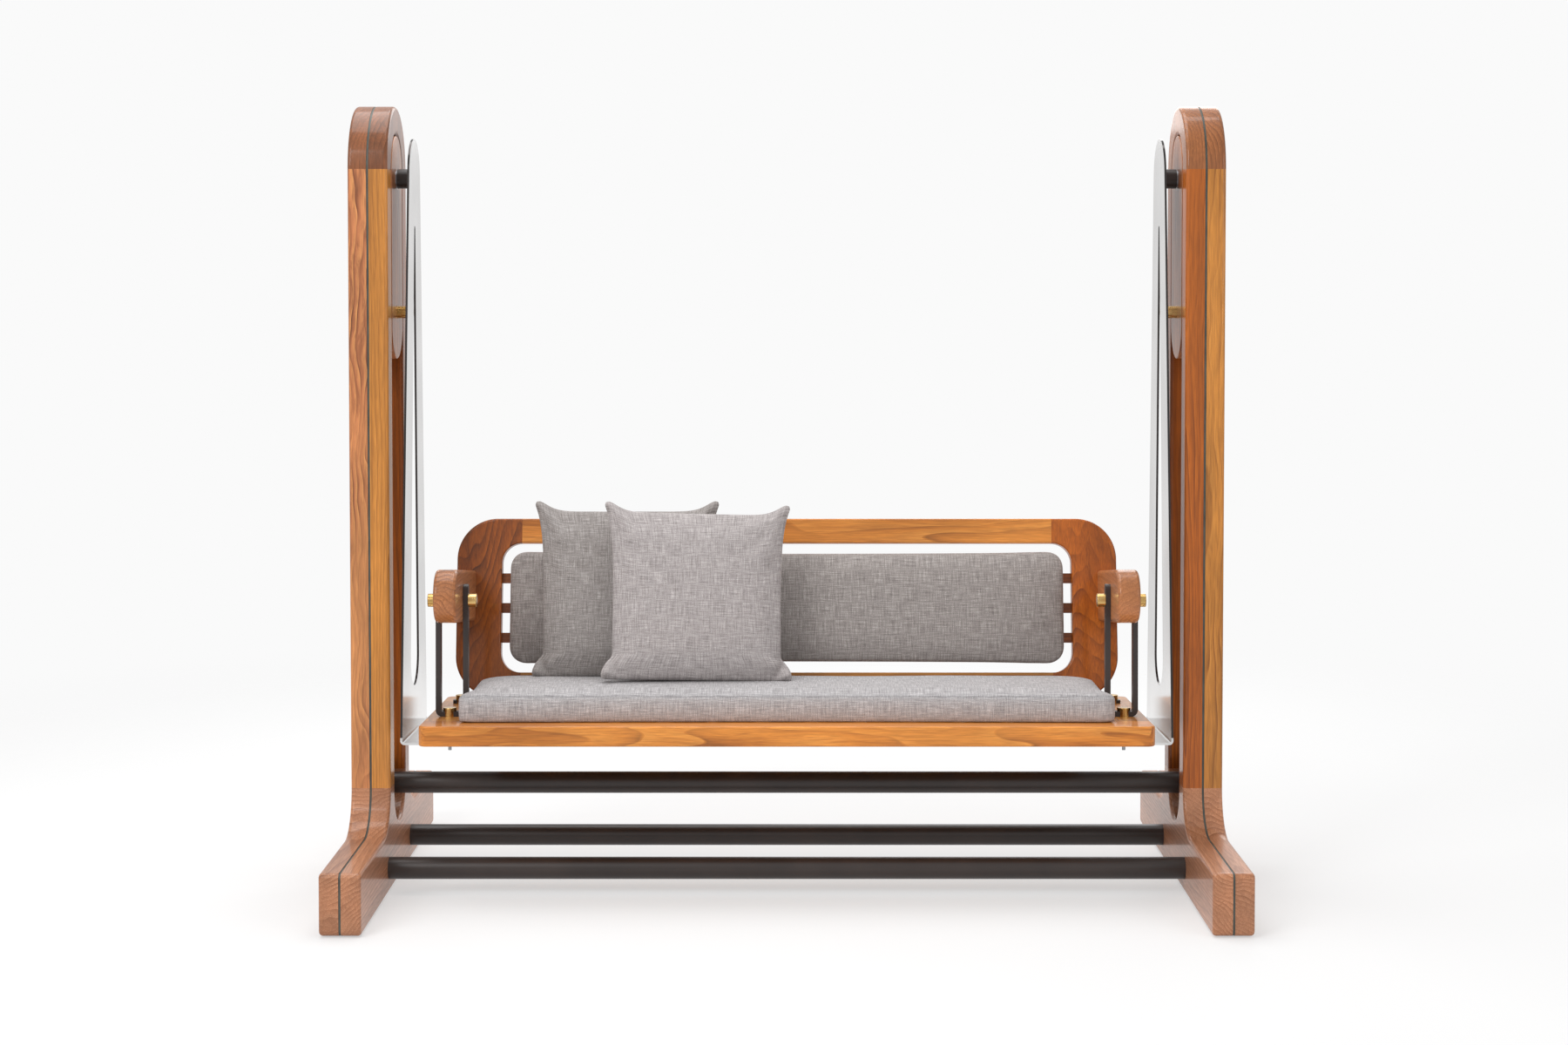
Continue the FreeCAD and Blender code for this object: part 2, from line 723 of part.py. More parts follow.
# A forked strap: it lies on the seat under the arm and rises on both sides of it
def arm_bracket():
    top = arm_bolt_z + bar_above_bolt
    inside = bar_bend_radius
    outside = bar_bend_radius + bar_thickness
    strap = slab_y(
        [
            (inner_bar_inner, seat_top, outside),
            (outer_bar_outer, seat_top, outside),
            (outer_bar_outer, top, 0),
            (outer_bar_inner, top, 0),
            (outer_bar_inner, seat_top + bar_thickness, inside),
            (inner_bar_outer, seat_top + bar_thickness, inside),
            (inner_bar_outer, top, 0),
            (inner_bar_inner, top, 0),
        ],
        bar_place - bar_width / 2,
        bar_place + bar_width / 2,
    )
    rounded_top = slab_x(
        [
            (bar_place - bar_width / 2, seat_top - cut_over, 0),
            (bar_place + bar_width / 2, seat_top - cut_over, 0),
            (bar_place + bar_width / 2, top, bar_width / 2),
            (bar_place - bar_width / 2, top, bar_width / 2),
        ],
        inner_bar_inner - cut_over,
        outer_bar_outer + cut_over,
    )
    strap = strap.common(rounded_top)
    bolt_hole = rod_x(
        arm_bolt_radius + fit_gap, inner_bar_inner - cut_over, outer_bar_outer + cut_over, bar_place, arm_bolt_z
    )
    stud_hole = rod_z(
        knob_stud_radius + fit_gap, seat_top - cut_over, seat_top + bar_thickness + cut_over, knob_place, bar_place
    )
    return strap.cut(bolt_hole).cut(stud_hole)


def rear_strap():
    strap = slab_z(
        rectangle(
            rear_strap_inner,
            rear_strap_outer,
            rear_strap_place - bar_width / 2,
            rear_strap_place + bar_width / 2,
            rear_strap_corner,
        ),
        seat_top,
        seat_top + rear_strap_thickness,
    )
    return strap.cut(
        rod_z(
            knob_stud_radius + fit_gap,
            seat_top - cut_over,
            seat_top + rear_strap_thickness + cut_over,
            knob_place,
            rear_strap_place,
        )
    )


# Brass knob that stands on the seat and straddles a strap in a groove;
# its steel stud runs down through the seat and the flange
def knob(y, strap_thickness):
    top = seat_top + knob_height
    body = round_face_z(rod_z(brass_radius, seat_top, top, knob_place, y), top, brass_edge)
    groove = box(
        knob_place - 2 * brass_radius,
        knob_place + 2 * brass_radius,
        y - bar_width / 2 - joint_gap,
        y + bar_width / 2 + joint_gap,
        seat_top - cut_over,
        seat_top + strap_thickness,
    )
    return body.cut(groove).cut(
        rod_z(knob_stud_radius + fit_gap, seat_top - cut_over, top - brass_edge, knob_place, y)
    )


def knob_stud(y):
    return rod_z(
        knob_stud_radius,
        flange_under - knob_stud_below,
        seat_top + knob_height - brass_edge - fit_gap,
        knob_place,
        y,
    )


def knob_nut(y):
    nut = hexagon_z(nut_radius, flange_under - nut_height, flange_under, knob_place, y)
    return nut.cut(
        rod_z(knob_stud_radius + fit_gap, flange_under - nut_height - cut_over, flange_under, knob_place, y)
    )


# Everything behind the front face of the back
def back_front_halfspace():
    wide = back_half_width + 2 * cut_over
    return reclined(box(-wide, wide, 0, back_height, -back_height, 2 * back_height))


def rear_spacer():
    foot = seat_top + rear_strap_thickness
    spacer = rod_z(brass_radius, foot, foot + knob_height, rear_spacer_place, rear_strap_place)
    wide = back_half_width + 2 * cut_over
    frame_room = reclined(box(-wide, wide, -back_height, back_height, 0, back_height))
    return spacer.cut(frame_room)


# The arm is a plank with a half-round front, cut to the reclined face of the back
def arm():
    middle = seat_top + arm_tip_rise
    tip = arm_tip + arm_radius
    length = back_foot_place - arm_tip + arm_height
    plank = slab_x(
        [
            (arm_tip, middle - arm_radius, arm_radius),
            (arm_tip + length, middle - arm_radius, 0),
            (arm_tip + length, middle + arm_radius, 0),
            (arm_tip, middle + arm_radius, arm_radius),
        ],
        arm_inner_face,
        arm_outer_face,
    )
    plank = round_face_x(plank, arm_inner_face, arm_edge_round)
    plank = round_face_x(plank, arm_outer_face, arm_edge_round)
    plank.rotate(FreeCAD.Vector(0, tip, middle), along_x, -arm_tilt)
    plank = plank.cut(back_front_halfspace())
    bolt_hole = rod_x(
        arm_bolt_radius + fit_gap, arm_inner_face - cut_over, arm_outer_face + cut_over, bar_place, arm_bolt_z
    )
    plank = plank.cut(bolt_hole)
    for z in arm_screw_heights():
        plank = plank.cut(reclined(arm_screw_hole(z)))
    return plank


# Heights of the arm screws above the foot of the back, measured along its face
def arm_screw_heights():
    drop = (back_foot_place - arm_tip) * math.tan(math.radians(arm_tilt))
    middle = seat_top + arm_tip_rise - drop - back_foot_z
    return (middle - arm_screw_spread, middle + arm_screw_spread)


def arm_screw_place():
    return arm_inner_face + arm_thickness / 4


def arm_screw_hole(z):
    return rod_y(
        arm_screw_radius + fit_gap, -arm_screw_reach - fit_gap, back_thickness + cut_over, arm_screw_place(), z
    )


def arm_screw(z):
    x = arm_screw_place()
    shank = rod_y(arm_screw_radius, -arm_screw_reach, back_thickness + fit_gap, x, z)
    head = rod_y(arm_screw_head_radius, back_thickness, back_thickness + arm_screw_head, x, z)
    head = round_face_y(head, back_thickness + arm_screw_head, arm_screw_head / 2)
    return reclined(shank.fuse(head).removeSplitter())


def make_arms():
    add("right_arm", leaned(arm()))
    add("left_arm", leaned(mirrored(arm())))
    add("right_arm_bracket", leaned(arm_bracket()))
    add("left_arm_bracket", leaned(mirrored(arm_bracket())))
    bolt_end = brass_cap_length - brass_edge - fit_gap
    bolt = rod_x(
        arm_bolt_radius, inner_bar_inner - bolt_end, outer_bar_outer + bolt_end, bar_place, arm_bolt_z
    )
    add("arm_bolts", leaned(bolt), leaned(mirrored(bolt)))
    outer_cap = rod_x(
        brass_radius, outer_bar_outer, outer_bar_outer + brass_cap_length, bar_place, arm_bolt_z
    )
    outer_cap = round_face_x(outer_cap, outer_bar_outer + brass_cap_length, brass_edge)
    inner_cap = rod_x(
        brass_radius, inner_bar_inner - brass_cap_length, inner_bar_inner, bar_place, arm_bolt_z
    )
    inner_cap = round_face_x(inner_cap, inner_bar_inner - brass_cap_length, brass_edge)
    bore = rod_x(
        arm_bolt_radius + fit_gap,
        inner_bar_inner - bolt_end - fit_gap,
        outer_bar_outer + bolt_end + fit_gap,
        bar_place,
        arm_bolt_z,
    )
    caps = [outer_cap.cut(bore), inner_cap.cut(bore)]
    add("arm_brass_caps", *[leaned(cap) for cap in caps], *[leaned(mirrored(cap)) for cap in caps])
    knobs = []
    studs = []
    nuts = []
    for y, strap_thickness in ((bar_place, bar_thickness), (rear_strap_place, rear_strap_thickness)):
        knobs += [leaned(knob(y, strap_thickness)), leaned(mirrored(knob(y, strap_thickness)))]
        studs += [leaned(knob_stud(y)), leaned(mirrored(knob_stud(y)))]
        nuts += [leaned(knob_nut(y)), leaned(mirrored(knob_nut(y)))]
    add("brass_knobs", *knobs)
    add("knob_studs", *studs)
    add("knob_nuts", *nuts)
    add("rear_straps", leaned(rear_strap()), leaned(mirrored(rear_strap())))
    add("rear_spacers", leaned(rear_spacer()), leaned(mirrored(rear_spacer())))


def back_slat_heights():
    middle = back_height / 2
    return [middle + (i - (back_slat_count - 1) / 2) * back_slat_pitch for i in range(back_slat_count)]


# Backrest: a rounded frame of two stiles and two rails, with three slats let into the stiles
def make_back():
    frame = slab_y(rectangle(-back_half_width, back_half_width, 0, back_height, back_corner), 0, back_thickness)
    opening = rectangle(
        -back_opening_half, back_opening_half, back_rail, back_height - back_rail, back_opening_corner
    )
    frame = frame.cut(slab_y(opening, -cut_over, back_thickness + cut_over))
    frame = round_face_y(frame, 0, back_edge_round)
    frame = round_face_y(frame, back_thickness, back_edge_round)
    tenon_end = back_opening_half + tenon_length
    slats = []
    for z in back_slat_heights():
        slat = box(
            -tenon_end,
            tenon_end,
            back_slat_setback,
            back_slat_setback + back_slat_thickness,
            z - back_slat_height / 2,
            z + back_slat_height / 2,
        )
        slats.append(leaned(reclined(slat)))
        frame = frame.cut(
            box(
                -tenon_end - joint_gap,
                tenon_end + joint_gap,
                back_slat_setback - joint_gap,
                back_slat_setback + back_slat_thickness + joint_gap,
                z - back_slat_height / 2 - joint_gap,
                z + back_slat_height / 2 + joint_gap,
            )
        )
    for z in arm_screw_heights():
        frame = frame.cut(arm_screw_hole(z)).cut(mirrored(arm_screw_hole(z)))
    joint = back_opening_half - back_opening_corner
    wide = back_half_width + cut_over
    deep = back_thickness + cut_over
    middle = back_height / 2
    stile = frame.common(box(joint, wide, -cut_over, deep, -cut_over, back_height + cut_over))
    top_rail = frame.common(box(-joint, joint, -cut_over, deep, middle, back_height + cut_over))
    bottom_rail = frame.common(box(-joint, joint, -cut_over, deep, -cut_over, middle))
    add("right_back_stile", leaned(reclined(stile)))
    add("left_back_stile", leaned(reclined(mirrored(stile))))
    add("back_top_rail", leaned(reclined(top_rail)))
    add("back_bottom_rail", leaned(reclined(bottom_rail)))
    add("back_slats", *slats)
    screws = []
    for z in arm_screw_heights():
        screws += [leaned(arm_screw(z)), leaned(mirrored(arm_screw(z)))]
    add("arm_screws", *screws)


# Cushion outline with four drawn-in sides and four short corner arcs
def soft_outline(half_u, half_v, draw_u, draw_v, corner, place):
    notch = corner * (1 - math.sqrt(0.5))
    stops = []
    for su, sv in ((1, 1), (-1, 1), (-1, -1), (1, -1)):
        first = (su * half_u, sv * (half_v - corner))
        second = (su * (half_u - corner), sv * half_v)
        middle = (su * (half_u - notch), sv * (half_v - notch))
        stops.append((first, middle, second) if su == sv else (second, middle, first))
    sides = [(0, half_v - draw_v), (-half_u + draw_u, 0), (0, -half_v + draw_v), (half_u - draw_u, 0)]
    edges = []
    for i in range(4):
        start, middle, end = stops[i]
        edges.append(Part.Arc(place(*start), place(*middle), place(*end)).toShape())
        following = stops[(i + 1) % 4][0]
        edges.append(Part.Arc(place(*end), place(*sides[i]), place(*following)).toShape())
    return Part.Wire(edges)


# Box cushion: upright sides with softened edges and a crown that rises towards the middle
crown_inset_shares = (0.0, 0.12, 0.42, 0.8)
crown_rise_shares = (0.0, 0.45, 0.85, 1.0)


def box_cushion(half_u, half_v, draw, corner, low, high, crown, flat):
    levels = [(flat, low), (0, low + cushion_edge), (0, high - cushion_edge)]
    for inset_share, rise_share in zip(crown_inset_shares, crown_rise_shares):
        inset = cushion_edge + inset_share * (half_v - corner - draw)
        levels.append((inset, high + rise_share * crown))
    wires = []
    for inset, level in levels:
        tight = max(corner - inset, cushion_edge)
        wires.append(soft_outline(half_u - inset, half_v - inset, draw, draw, tight, in_xy(level)))
    return Part.makeLoft(wires, True, True)


def seat_cushion():
    back_face = back_foot_place - seat_cushion_back_gap
    half_depth = (back_face - seat_cushion_front) / 2
    cushion = box_cushion(
        seat_cushion_half_width,
        half_depth,
        seat_cushion_draw,
        seat_cushion_corner,
        0,
        seat_cushion_side_height,
        seat_cushion_crown,
        cushion_edge,
    )
    cushion.translate(FreeCAD.Vector(0, seat_cushion_front + half_depth, seat_top + soft_gap))
    return cushion


def back_cushion():
    cushion = box_cushion(
        back_cushion_half_width,
        back_cushion_half_height,
        back_cushion_draw,
        back_cushion_corner,
        0,
        back_cushion_core,
        back_cushion_crown,
        cushion_edge,
    )
    cushion.rotate(origin, along_x, 90)
    cushion.translate(FreeCAD.Vector(0, back_slat_setback - soft_gap, back_height / 2))
    return reclined(cushion)


# Scatter pillow: knife edges, drawn-in sides, and a crown on both faces
pillow_inset_shares = (0.62, 0.34, 0.14, 0.0, 0.14, 0.34, 0.62)
pillow_depth_shares = (1.0, 0.86, 0.52, 0.0, -0.52, -0.86, -1.0)


def pillow():
    wires = []
    for inset_share, depth_share in zip(pillow_inset_shares, pillow_depth_shares):
        half_width = pillow_half_width * (1 - inset_share)
        half_height = pillow_half_height * (1 - inset_share)
        side_draw = pillow_side_draw * (1 - inset_share)
        draw = pillow_draw * (1 - inset_share)
        place = in_xz(depth_share * pillow_half_thickness)
        wires.append(soft_outline(half_width, half_height, side_draw, draw, pillow_ear, place))
    return Part.makeLoft(wires, True, True)


# Height of a pillow's middle above the foot of the back
def pillow_middle(sink):
    return seat_cushion_side_height + seat_cushion_crown - sink - back_bottom_rise + pillow_half_height


def make_soft():
    add("seat_cushion", leaned(seat_cushion()))
    add("back_cushion", leaned(back_cushion()))
    rear = pillow()
    setback = back_cushion_core + rear_pillow_setback
    rear.translate(FreeCAD.Vector(rear_pillow_place, -setback, pillow_middle(rear_pillow_sink)))
    add("rear_pillow", leaned(reclined(rear)))
    front = pillow()
    front.rotate(origin, along_z, front_pillow_turn)
    front.rotate(origin, along_x, -front_pillow_tilt)
    setback += front_pillow_setback
    front.translate(FreeCAD.Vector(front_pillow_place, -setback, pillow_middle(front_pillow_sink)))
    add("front_pillow", leaned(reclined(front)))


make_stands()
make_hubs()
make_hangers()
make_seat()
make_arms()
make_back()
make_soft()

os.makedirs("parts", exist_ok=True)
for name, shape in nodes.items():
    shape.exportStep("parts/" + name + ".step")
print(len(nodes), "nodes")
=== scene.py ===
import math
import bmesh
import bpy
import numpy as np
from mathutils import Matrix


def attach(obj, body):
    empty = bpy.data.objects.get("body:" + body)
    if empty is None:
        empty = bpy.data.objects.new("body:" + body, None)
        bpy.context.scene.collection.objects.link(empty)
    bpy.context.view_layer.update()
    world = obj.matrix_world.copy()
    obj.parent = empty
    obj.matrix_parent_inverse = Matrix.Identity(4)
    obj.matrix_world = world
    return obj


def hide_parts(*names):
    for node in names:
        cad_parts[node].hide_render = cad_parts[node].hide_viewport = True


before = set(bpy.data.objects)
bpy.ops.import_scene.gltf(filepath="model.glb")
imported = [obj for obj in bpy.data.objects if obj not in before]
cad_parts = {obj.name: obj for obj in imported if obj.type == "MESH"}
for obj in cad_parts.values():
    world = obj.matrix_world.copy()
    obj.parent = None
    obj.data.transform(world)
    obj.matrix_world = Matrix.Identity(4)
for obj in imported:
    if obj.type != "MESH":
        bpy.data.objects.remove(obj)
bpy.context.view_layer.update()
print("stage: frame loaded")

# Helpers that the materials share


def linearColour(hexText):
    # sRGB hex to linear: (c + 0.055) / 1.055 to the power 2.4 above the toe, c / 12.92 below it
    channels = [int(hexText[i:i + 2], 16) / 255 for i in (1, 3, 5)]
    return [c / 12.92 if c <= 0.04045 else ((c + 0.055) / 1.055) ** 2.4 for c in channels] + [1.0]


def addNode(tree, kind, links=None, values=None, stops=None, **settings):
    # adds one node, sets its options, its unlinked sockets and its links; stops are the
    # (position, hex) pairs of a colour ramp, from low to high
    node = tree.nodes.new(kind)
    for key, value in settings.items():
        setattr(node, key, value)
    for key, value in (values or {}).items():
        node.inputs[key].default_value = value
    for key, source in (links or {}).items():
        tree.links.new(source, node.inputs[key])
    if stops:
        elements = node.color_ramp.elements
        while len(elements) < len(stops):
            elements.new(0.5)
        for element, (position, hexText) in zip(elements, stops):
            element.position = position
            element.color = linearColour(hexText)
    return node


def newMaterial(name, values):
    # a material with one Principled shader, whose constant sockets are given in values
    material = bpy.data.materials.new(name)
    material.use_nodes = True
    tree = material.node_tree
    tree.nodes.clear()
    shader = addNode(tree, "ShaderNodeBsdfPrincipled", values=values)
    addNode(tree, "ShaderNodeOutputMaterial", links={"Surface": shader.outputs["BSDF"]})
    return material, tree, shader


# Teak

# Oiled and lacquered teak: warm orange-brown heartwood, uneven dark growth lines that
# run with the piece, fine open pores, all under a clear glossy coat.
teakLook = {
    "ringGap": 0.0095,         # metres between growth lines
    "ringWander": 0.017,       # how far the lines wander off round
    "flow": 0.085,             # the pattern is drawn out along the grain by 1 / flow
    "streakGap": 0.007,        # fine light and dark streaks between the growth lines
    "streakLength": 4.0,
    "poreGap": 0.0024,         # real pores are 0.2 mm, drawn coarser so that they show
    "poreDepth": 0.00015,
    "poreLength": 20.0,        # times as long as wide
    "driftsPerMetre": 11.0,    # noise that pushes the growth lines about
    "bandsPerMetre": 24.0,     # bands of strong and faint growth lines
    "bandRange": (0.36, 0.62), "faintest": 0.20,
    "streakRange": (0.48, 0.66), "streakMost": 0.65,
    "tonesPerMetre": 7.0,      # slow change towards the light wood
    "toneRange": (0.42, 0.66), "toneMost": 0.5,
    "driftRange": (0.36, 0.64), "driftShade": (0.80, 1.12),
    "poreRange": (0.40, 0.62), "poreShade": (0.84, 1.05),
    "roughness": 0.42,
    "roughnessRange": (0.1, -0.06),
    "coat": 0.4,
    "coatRoughness": 0.11,
    "specular": 0.25,
}

# light wood, middle, dark growth line and streak of each board's tone
teakTones = {
    "honey": ("#E29644", "#D27E2C", "#72390F", "#A3581C"),
    "flame": ("#E09A5C", "#C27A4C", "#5C3018", "#8E5232"),
    "amber": ("#CF8A3E", "#C17C30", "#7C4516", "#9F6326"),
    "russet": ("#C0681C", "#AE5912", "#6A300A", "#8A4510"),
    "umber": ("#A85A18", "#8F480F", "#4C2408", "#6E380E"),
    "rose": ("#C88556", "#BA7546", "#763F20", "#985A34"),
    "blush": ("#C48B67", "#B47A57", "#8A573A", "#9E6746"),
    "dusk": ("#AA6A3C", "#9A5C31", "#60351A", "#7D4925"),
    "hazel": ("#BE7B4C", "#AD6D41", "#6C3D20", "#8D5631"),
    "shade": ("#8F5530", "#7E4825", "#4C2A12", "#653A1B"),
}

axisOrder = {"x": "XYZ", "y": "YXZ", "z": "ZXY"}


def makeTeak(name, axis, tone, wander, shift):
    # the board is cut from a log whose heart lies beside it: growth lines repeat every ringGap
    # of the distance from the heart line, which slow noise wavers, and every pattern is drawn
    # out along the grain axis
    look = teakLook
    light, middle, dark, streak = teakTones[tone]
    material, tree, shader = newMaterial("teak_" + name, {
        "Coat Weight": look["coat"], "Coat Roughness": look["coatRoughness"], "Coat IOR": 1.5,
        "IOR": 1.5, "Specular IOR Level": look["specular"]})
    place = addNode(tree, "ShaderNodeTexCoord").outputs["Object"]
    parts = addNode(tree, "ShaderNodeSeparateXYZ", links={"Vector": place})
    order = axisOrder[axis]
    turned = addNode(tree, "ShaderNodeCombineXYZ", links={
        "X": parts.outputs[order[0]], "Y": parts.outputs[order[1]], "Z": parts.outputs[order[2]]})
    log = addNode(tree, "ShaderNodeMapping", links={"Vector": turned.outputs["Vector"]},
                  values={"Location": shift}).outputs["Vector"]
    drawn = addNode(tree, "ShaderNodeMapping", links={"Vector": log},
                    values={"Scale": (look["flow"] * wander, 1.0, 1.0)}).outputs["Vector"]
    drift = addNode(tree, "ShaderNodeTexNoise", links={"Vector": drawn},
                    values={"Scale": look["driftsPerMetre"], "Detail": 2.0, "Roughness": 0.45})
    centred = addNode(tree, "ShaderNodeVectorMath", links={0: drift.outputs["Color"]},
                      values={1: (0.5, 0.5, 0.5)}, operation="SUBTRACT")
    # noise keeps within a quarter of its middle, so four times it reaches the whole wander
    scaled = addNode(tree, "ShaderNodeVectorMath", links={0: centred.outputs["Vector"]},
                     values={"Scale": look["ringWander"] * 4}, operation="SCALE")
    wavered = addNode(tree, "ShaderNodeVectorMath", links={0: drawn, 1: scaled.outputs["Vector"]},
                      operation="ADD")
    # a wave texture repeats every pi / (10 scale)
    rings = addNode(tree, "ShaderNodeTexWave", links={"Vector": wavered.outputs["Vector"]},
                    values={"Scale": math.pi / (10 * look["ringGap"]), "Distortion": 0.0},
                    wave_type="RINGS", rings_direction="X", wave_profile="SAW")
    board = addNode(tree, "ShaderNodeValToRGB", links={"Fac": rings.outputs["Fac"]}, stops=[
        (0.0, light), (0.55, middle), (0.84, streak), (0.94, dark), (1.0, middle)]).outputs["Color"]
    # growth lines are strong in some bands of the board and almost gone in others
    bands = addNode(tree, "ShaderNodeTexNoise", links={"Vector": drawn},
                    values={"Scale": look["bandsPerMetre"], "Detail": 2.0})
    bandMask = addNode(tree, "ShaderNodeMapRange", links={"Value": bands.outputs["Fac"]},
                       values={"From Min": look["bandRange"][0], "From Max": look["bandRange"][1],
                               "To Min": look["faintest"], "To Max": 1.0})
    lined = addNode(tree, "ShaderNodeMix", links={"Factor": bandMask.outputs["Result"], "B": board},
                    values={"A": linearColour(middle)}, data_type="RGBA")
    # fine streaks, four times as long again as the pattern that they lie in
    thin = addNode(tree, "ShaderNodeMapping", links={"Vector": wavered.outputs["Vector"]},
                   values={"Scale": (1 / look["streakLength"], 1.0, 1.0)})
    streaks = addNode(tree, "ShaderNodeTexNoise", links={"Vector": thin.outputs["Vector"]},
                      values={"Scale": 1 / look["streakGap"], "Detail": 3.0, "Roughness": 0.6})
    streakMask = addNode(tree, "ShaderNodeMapRange", links={"Value": streaks.outputs["Fac"]},
                         values={"From Min": look["streakRange"][0],
                                 "From Max": look["streakRange"][1], "To Max": look["streakMost"]})
    streaked = addNode(tree, "ShaderNodeMix", links={
        "Factor": streakMask.outputs["Result"], "A": lined.outputs["Result"]},
        values={"B": linearColour(streak)}, data_type="RGBA")
    # slow change of tone along and across the board
    broad = addNode(tree, "ShaderNodeTexNoise", links={"Vector": drawn},
                    values={"Scale": look["tonesPerMetre"], "Detail": 1.0})
    broadMask = addNode(tree, "ShaderNodeMapRange", links={"Value": broad.outputs["Fac"]},
                        values={"From Min": look["toneRange"][0],
                                "From Max": look["toneRange"][1], "To Max": look["toneMost"]})
    toned = addNode(tree, "ShaderNodeMix", links={
        "Factor": broadMask.outputs["Result"], "A": streaked.outputs["Result"]},
        values={"B": linearColour(light)}, data_type="RGBA")
    broadShade = addNode(tree, "ShaderNodeMapRange", links={"Value": drift.outputs["Fac"]},
                         values={"From Min": look["driftRange"][0],
                                 "From Max": look["driftRange"][1],
                                 "To Min": look["driftShade"][0], "To Max": look["driftShade"][1]})
    # pores: short dashes along the grain
    fine = addNode(tree, "ShaderNodeMapping", links={"Vector": log},
                   values={"Scale": (1 / look["poreLength"], 1.0, 1.0)}).outputs["Vector"]
    pores = addNode(tree, "ShaderNodeTexNoise", links={"Vector": fine},
                    values={"Scale": 1 / look["poreGap"], "Detail": 2.0})
    poreMask = addNode(tree, "ShaderNodeMapRange", links={"Value": pores.outputs["Fac"]},
                       values={"From Min": look["poreRange"][0], "From Max": look["poreRange"][1],
                               "To Min": look["poreShade"][0], "To Max": look["poreShade"][1]})
    shade = addNode(tree, "ShaderNodeMath", links={
        0: poreMask.outputs["Result"], 1: broadShade.outputs["Result"]}, operation="MULTIPLY")
    coloured = addNode(tree, "ShaderNodeMix", links={
        "A": toned.outputs["Result"], "B": shade.outputs["Value"]},
        values={"Factor": 1.0}, data_type="RGBA", blend_type="MULTIPLY")
    tree.links.new(coloured.outputs["Result"], shader.inputs["Base Color"])
    rough = addNode(tree, "ShaderNodeMapRange", links={"Value": pores.outputs["Fac"]},
                    values={"To Min": look["roughness"] + look["roughnessRange"][0],
                            "To Max": look["roughness"] + look["roughnessRange"][1]})
    tree.links.new(rough.outputs["Result"], shader.inputs["Roughness"])
    relief = addNode(tree, "ShaderNodeBump", links={"Height": pores.outputs["Fac"]},
                     values={"Strength": 0.25, "Distance": look["poreDepth"]})
    tree.links.new(relief.outputs["Normal"], shader.inputs["Normal"])
    return material


# piece of teak: grain axis, tone, how wildly its lines wander, and where its log's heart lies
teakBoards = {
    "left_outer_arch": ("z", "shade", 1.5, (0.3, 0.80, 0.20)),
    "left_inner_arch": ("z", "shade", 1.2, (1.1, 0.75, 0.25)),
    "right_outer_arch": ("z", "dusk", 1.5, (2.2, -0.80, 0.22)),
    "right_inner_arch": ("z", "dusk", 1.2, (3.1, -0.75, 0.18)),
    "left_outer_front_post": ("z", "flame", 4.0, (0.7, 0.93, 0.20)),
    "left_inner_front_post": ("z", "amber", 1.2, (1.9, 0.80, 0.24)),
    "left_outer_rear_post": ("z", "russet", 1.0, (4.7, 0.70, -0.05)),
    "left_inner_rear_post": ("z", "umber", 1.0, (5.2, 0.80, -0.02)),
    "right_outer_front_post": ("z", "amber", 2.6, (6.3, -0.94, 0.24)),
    "right_inner_front_post": ("z", "russet", 1.6, (7.4, -0.89, 0.19)),
    "right_outer_rear_post": ("z", "russet", 1.0, (8.1, -0.70, -0.05)),
    "right_inner_rear_post": ("z", "umber", 1.0, (9.6, -0.80, -0.02)),
    "left_outer_foot": ("y", "blush", 1.6, (0.4, 0.94, 0.10)),
    "left_inner_foot": ("y", "blush", 1.2, (1.6, 0.80, 0.14)),
    "right_outer_foot": ("y", "blush", 1.6, (2.3, -0.94, 0.10)),
    "right_inner_foot": ("y", "blush", 1.2, (3.8, -0.80, 0.12)),
    "left_hub_block": ("z", "rose", 1.0, (2.8, 0.70, 0.12)),
    "right_hub_block": ("z", "rose", 1.0, (6.8, -0.70, 0.12)),
    "seat_front_rail": ("x", "honey", 2.4, (0.5, 0.21, -0.375)),
    "seat_rear_rail": ("x", "amber", 1.0, (3.5, -0.30, -0.32)),
    "left_seat_end": ("y", "amber", 1.6, (4.5, 0.80, -0.30)),
    "right_seat_end": ("y", "amber", 1.6, (5.5, -0.80, -0.30)),
    "seat_slats": ("y", "amber", 1.0, (6.5, 0.10, -0.28)),
    "left_arm": ("y", "hazel", 1.5, (0.2, 0.82, -0.60)),
    "right_arm": ("y", "hazel", 1.5, (1.2, -0.83, -0.62)),
    "left_back_stile": ("z", "umber", 1.1, (2.2, 0.58, 0.19)),
    "right_back_stile": ("z", "russet", 1.4, (3.2, -0.70, 0.20)),
    "back_top_rail": ("x", "honey", 1.8, (4.2, -0.05, -0.82)),
    "back_bottom_rail": ("x", "amber", 1.0, (5.2, -0.10, -0.40)),
    "back_slats": ("x", "umber", 1.0, (6.2, -0.18, -0.60)),
}


# Metals, paint and pads


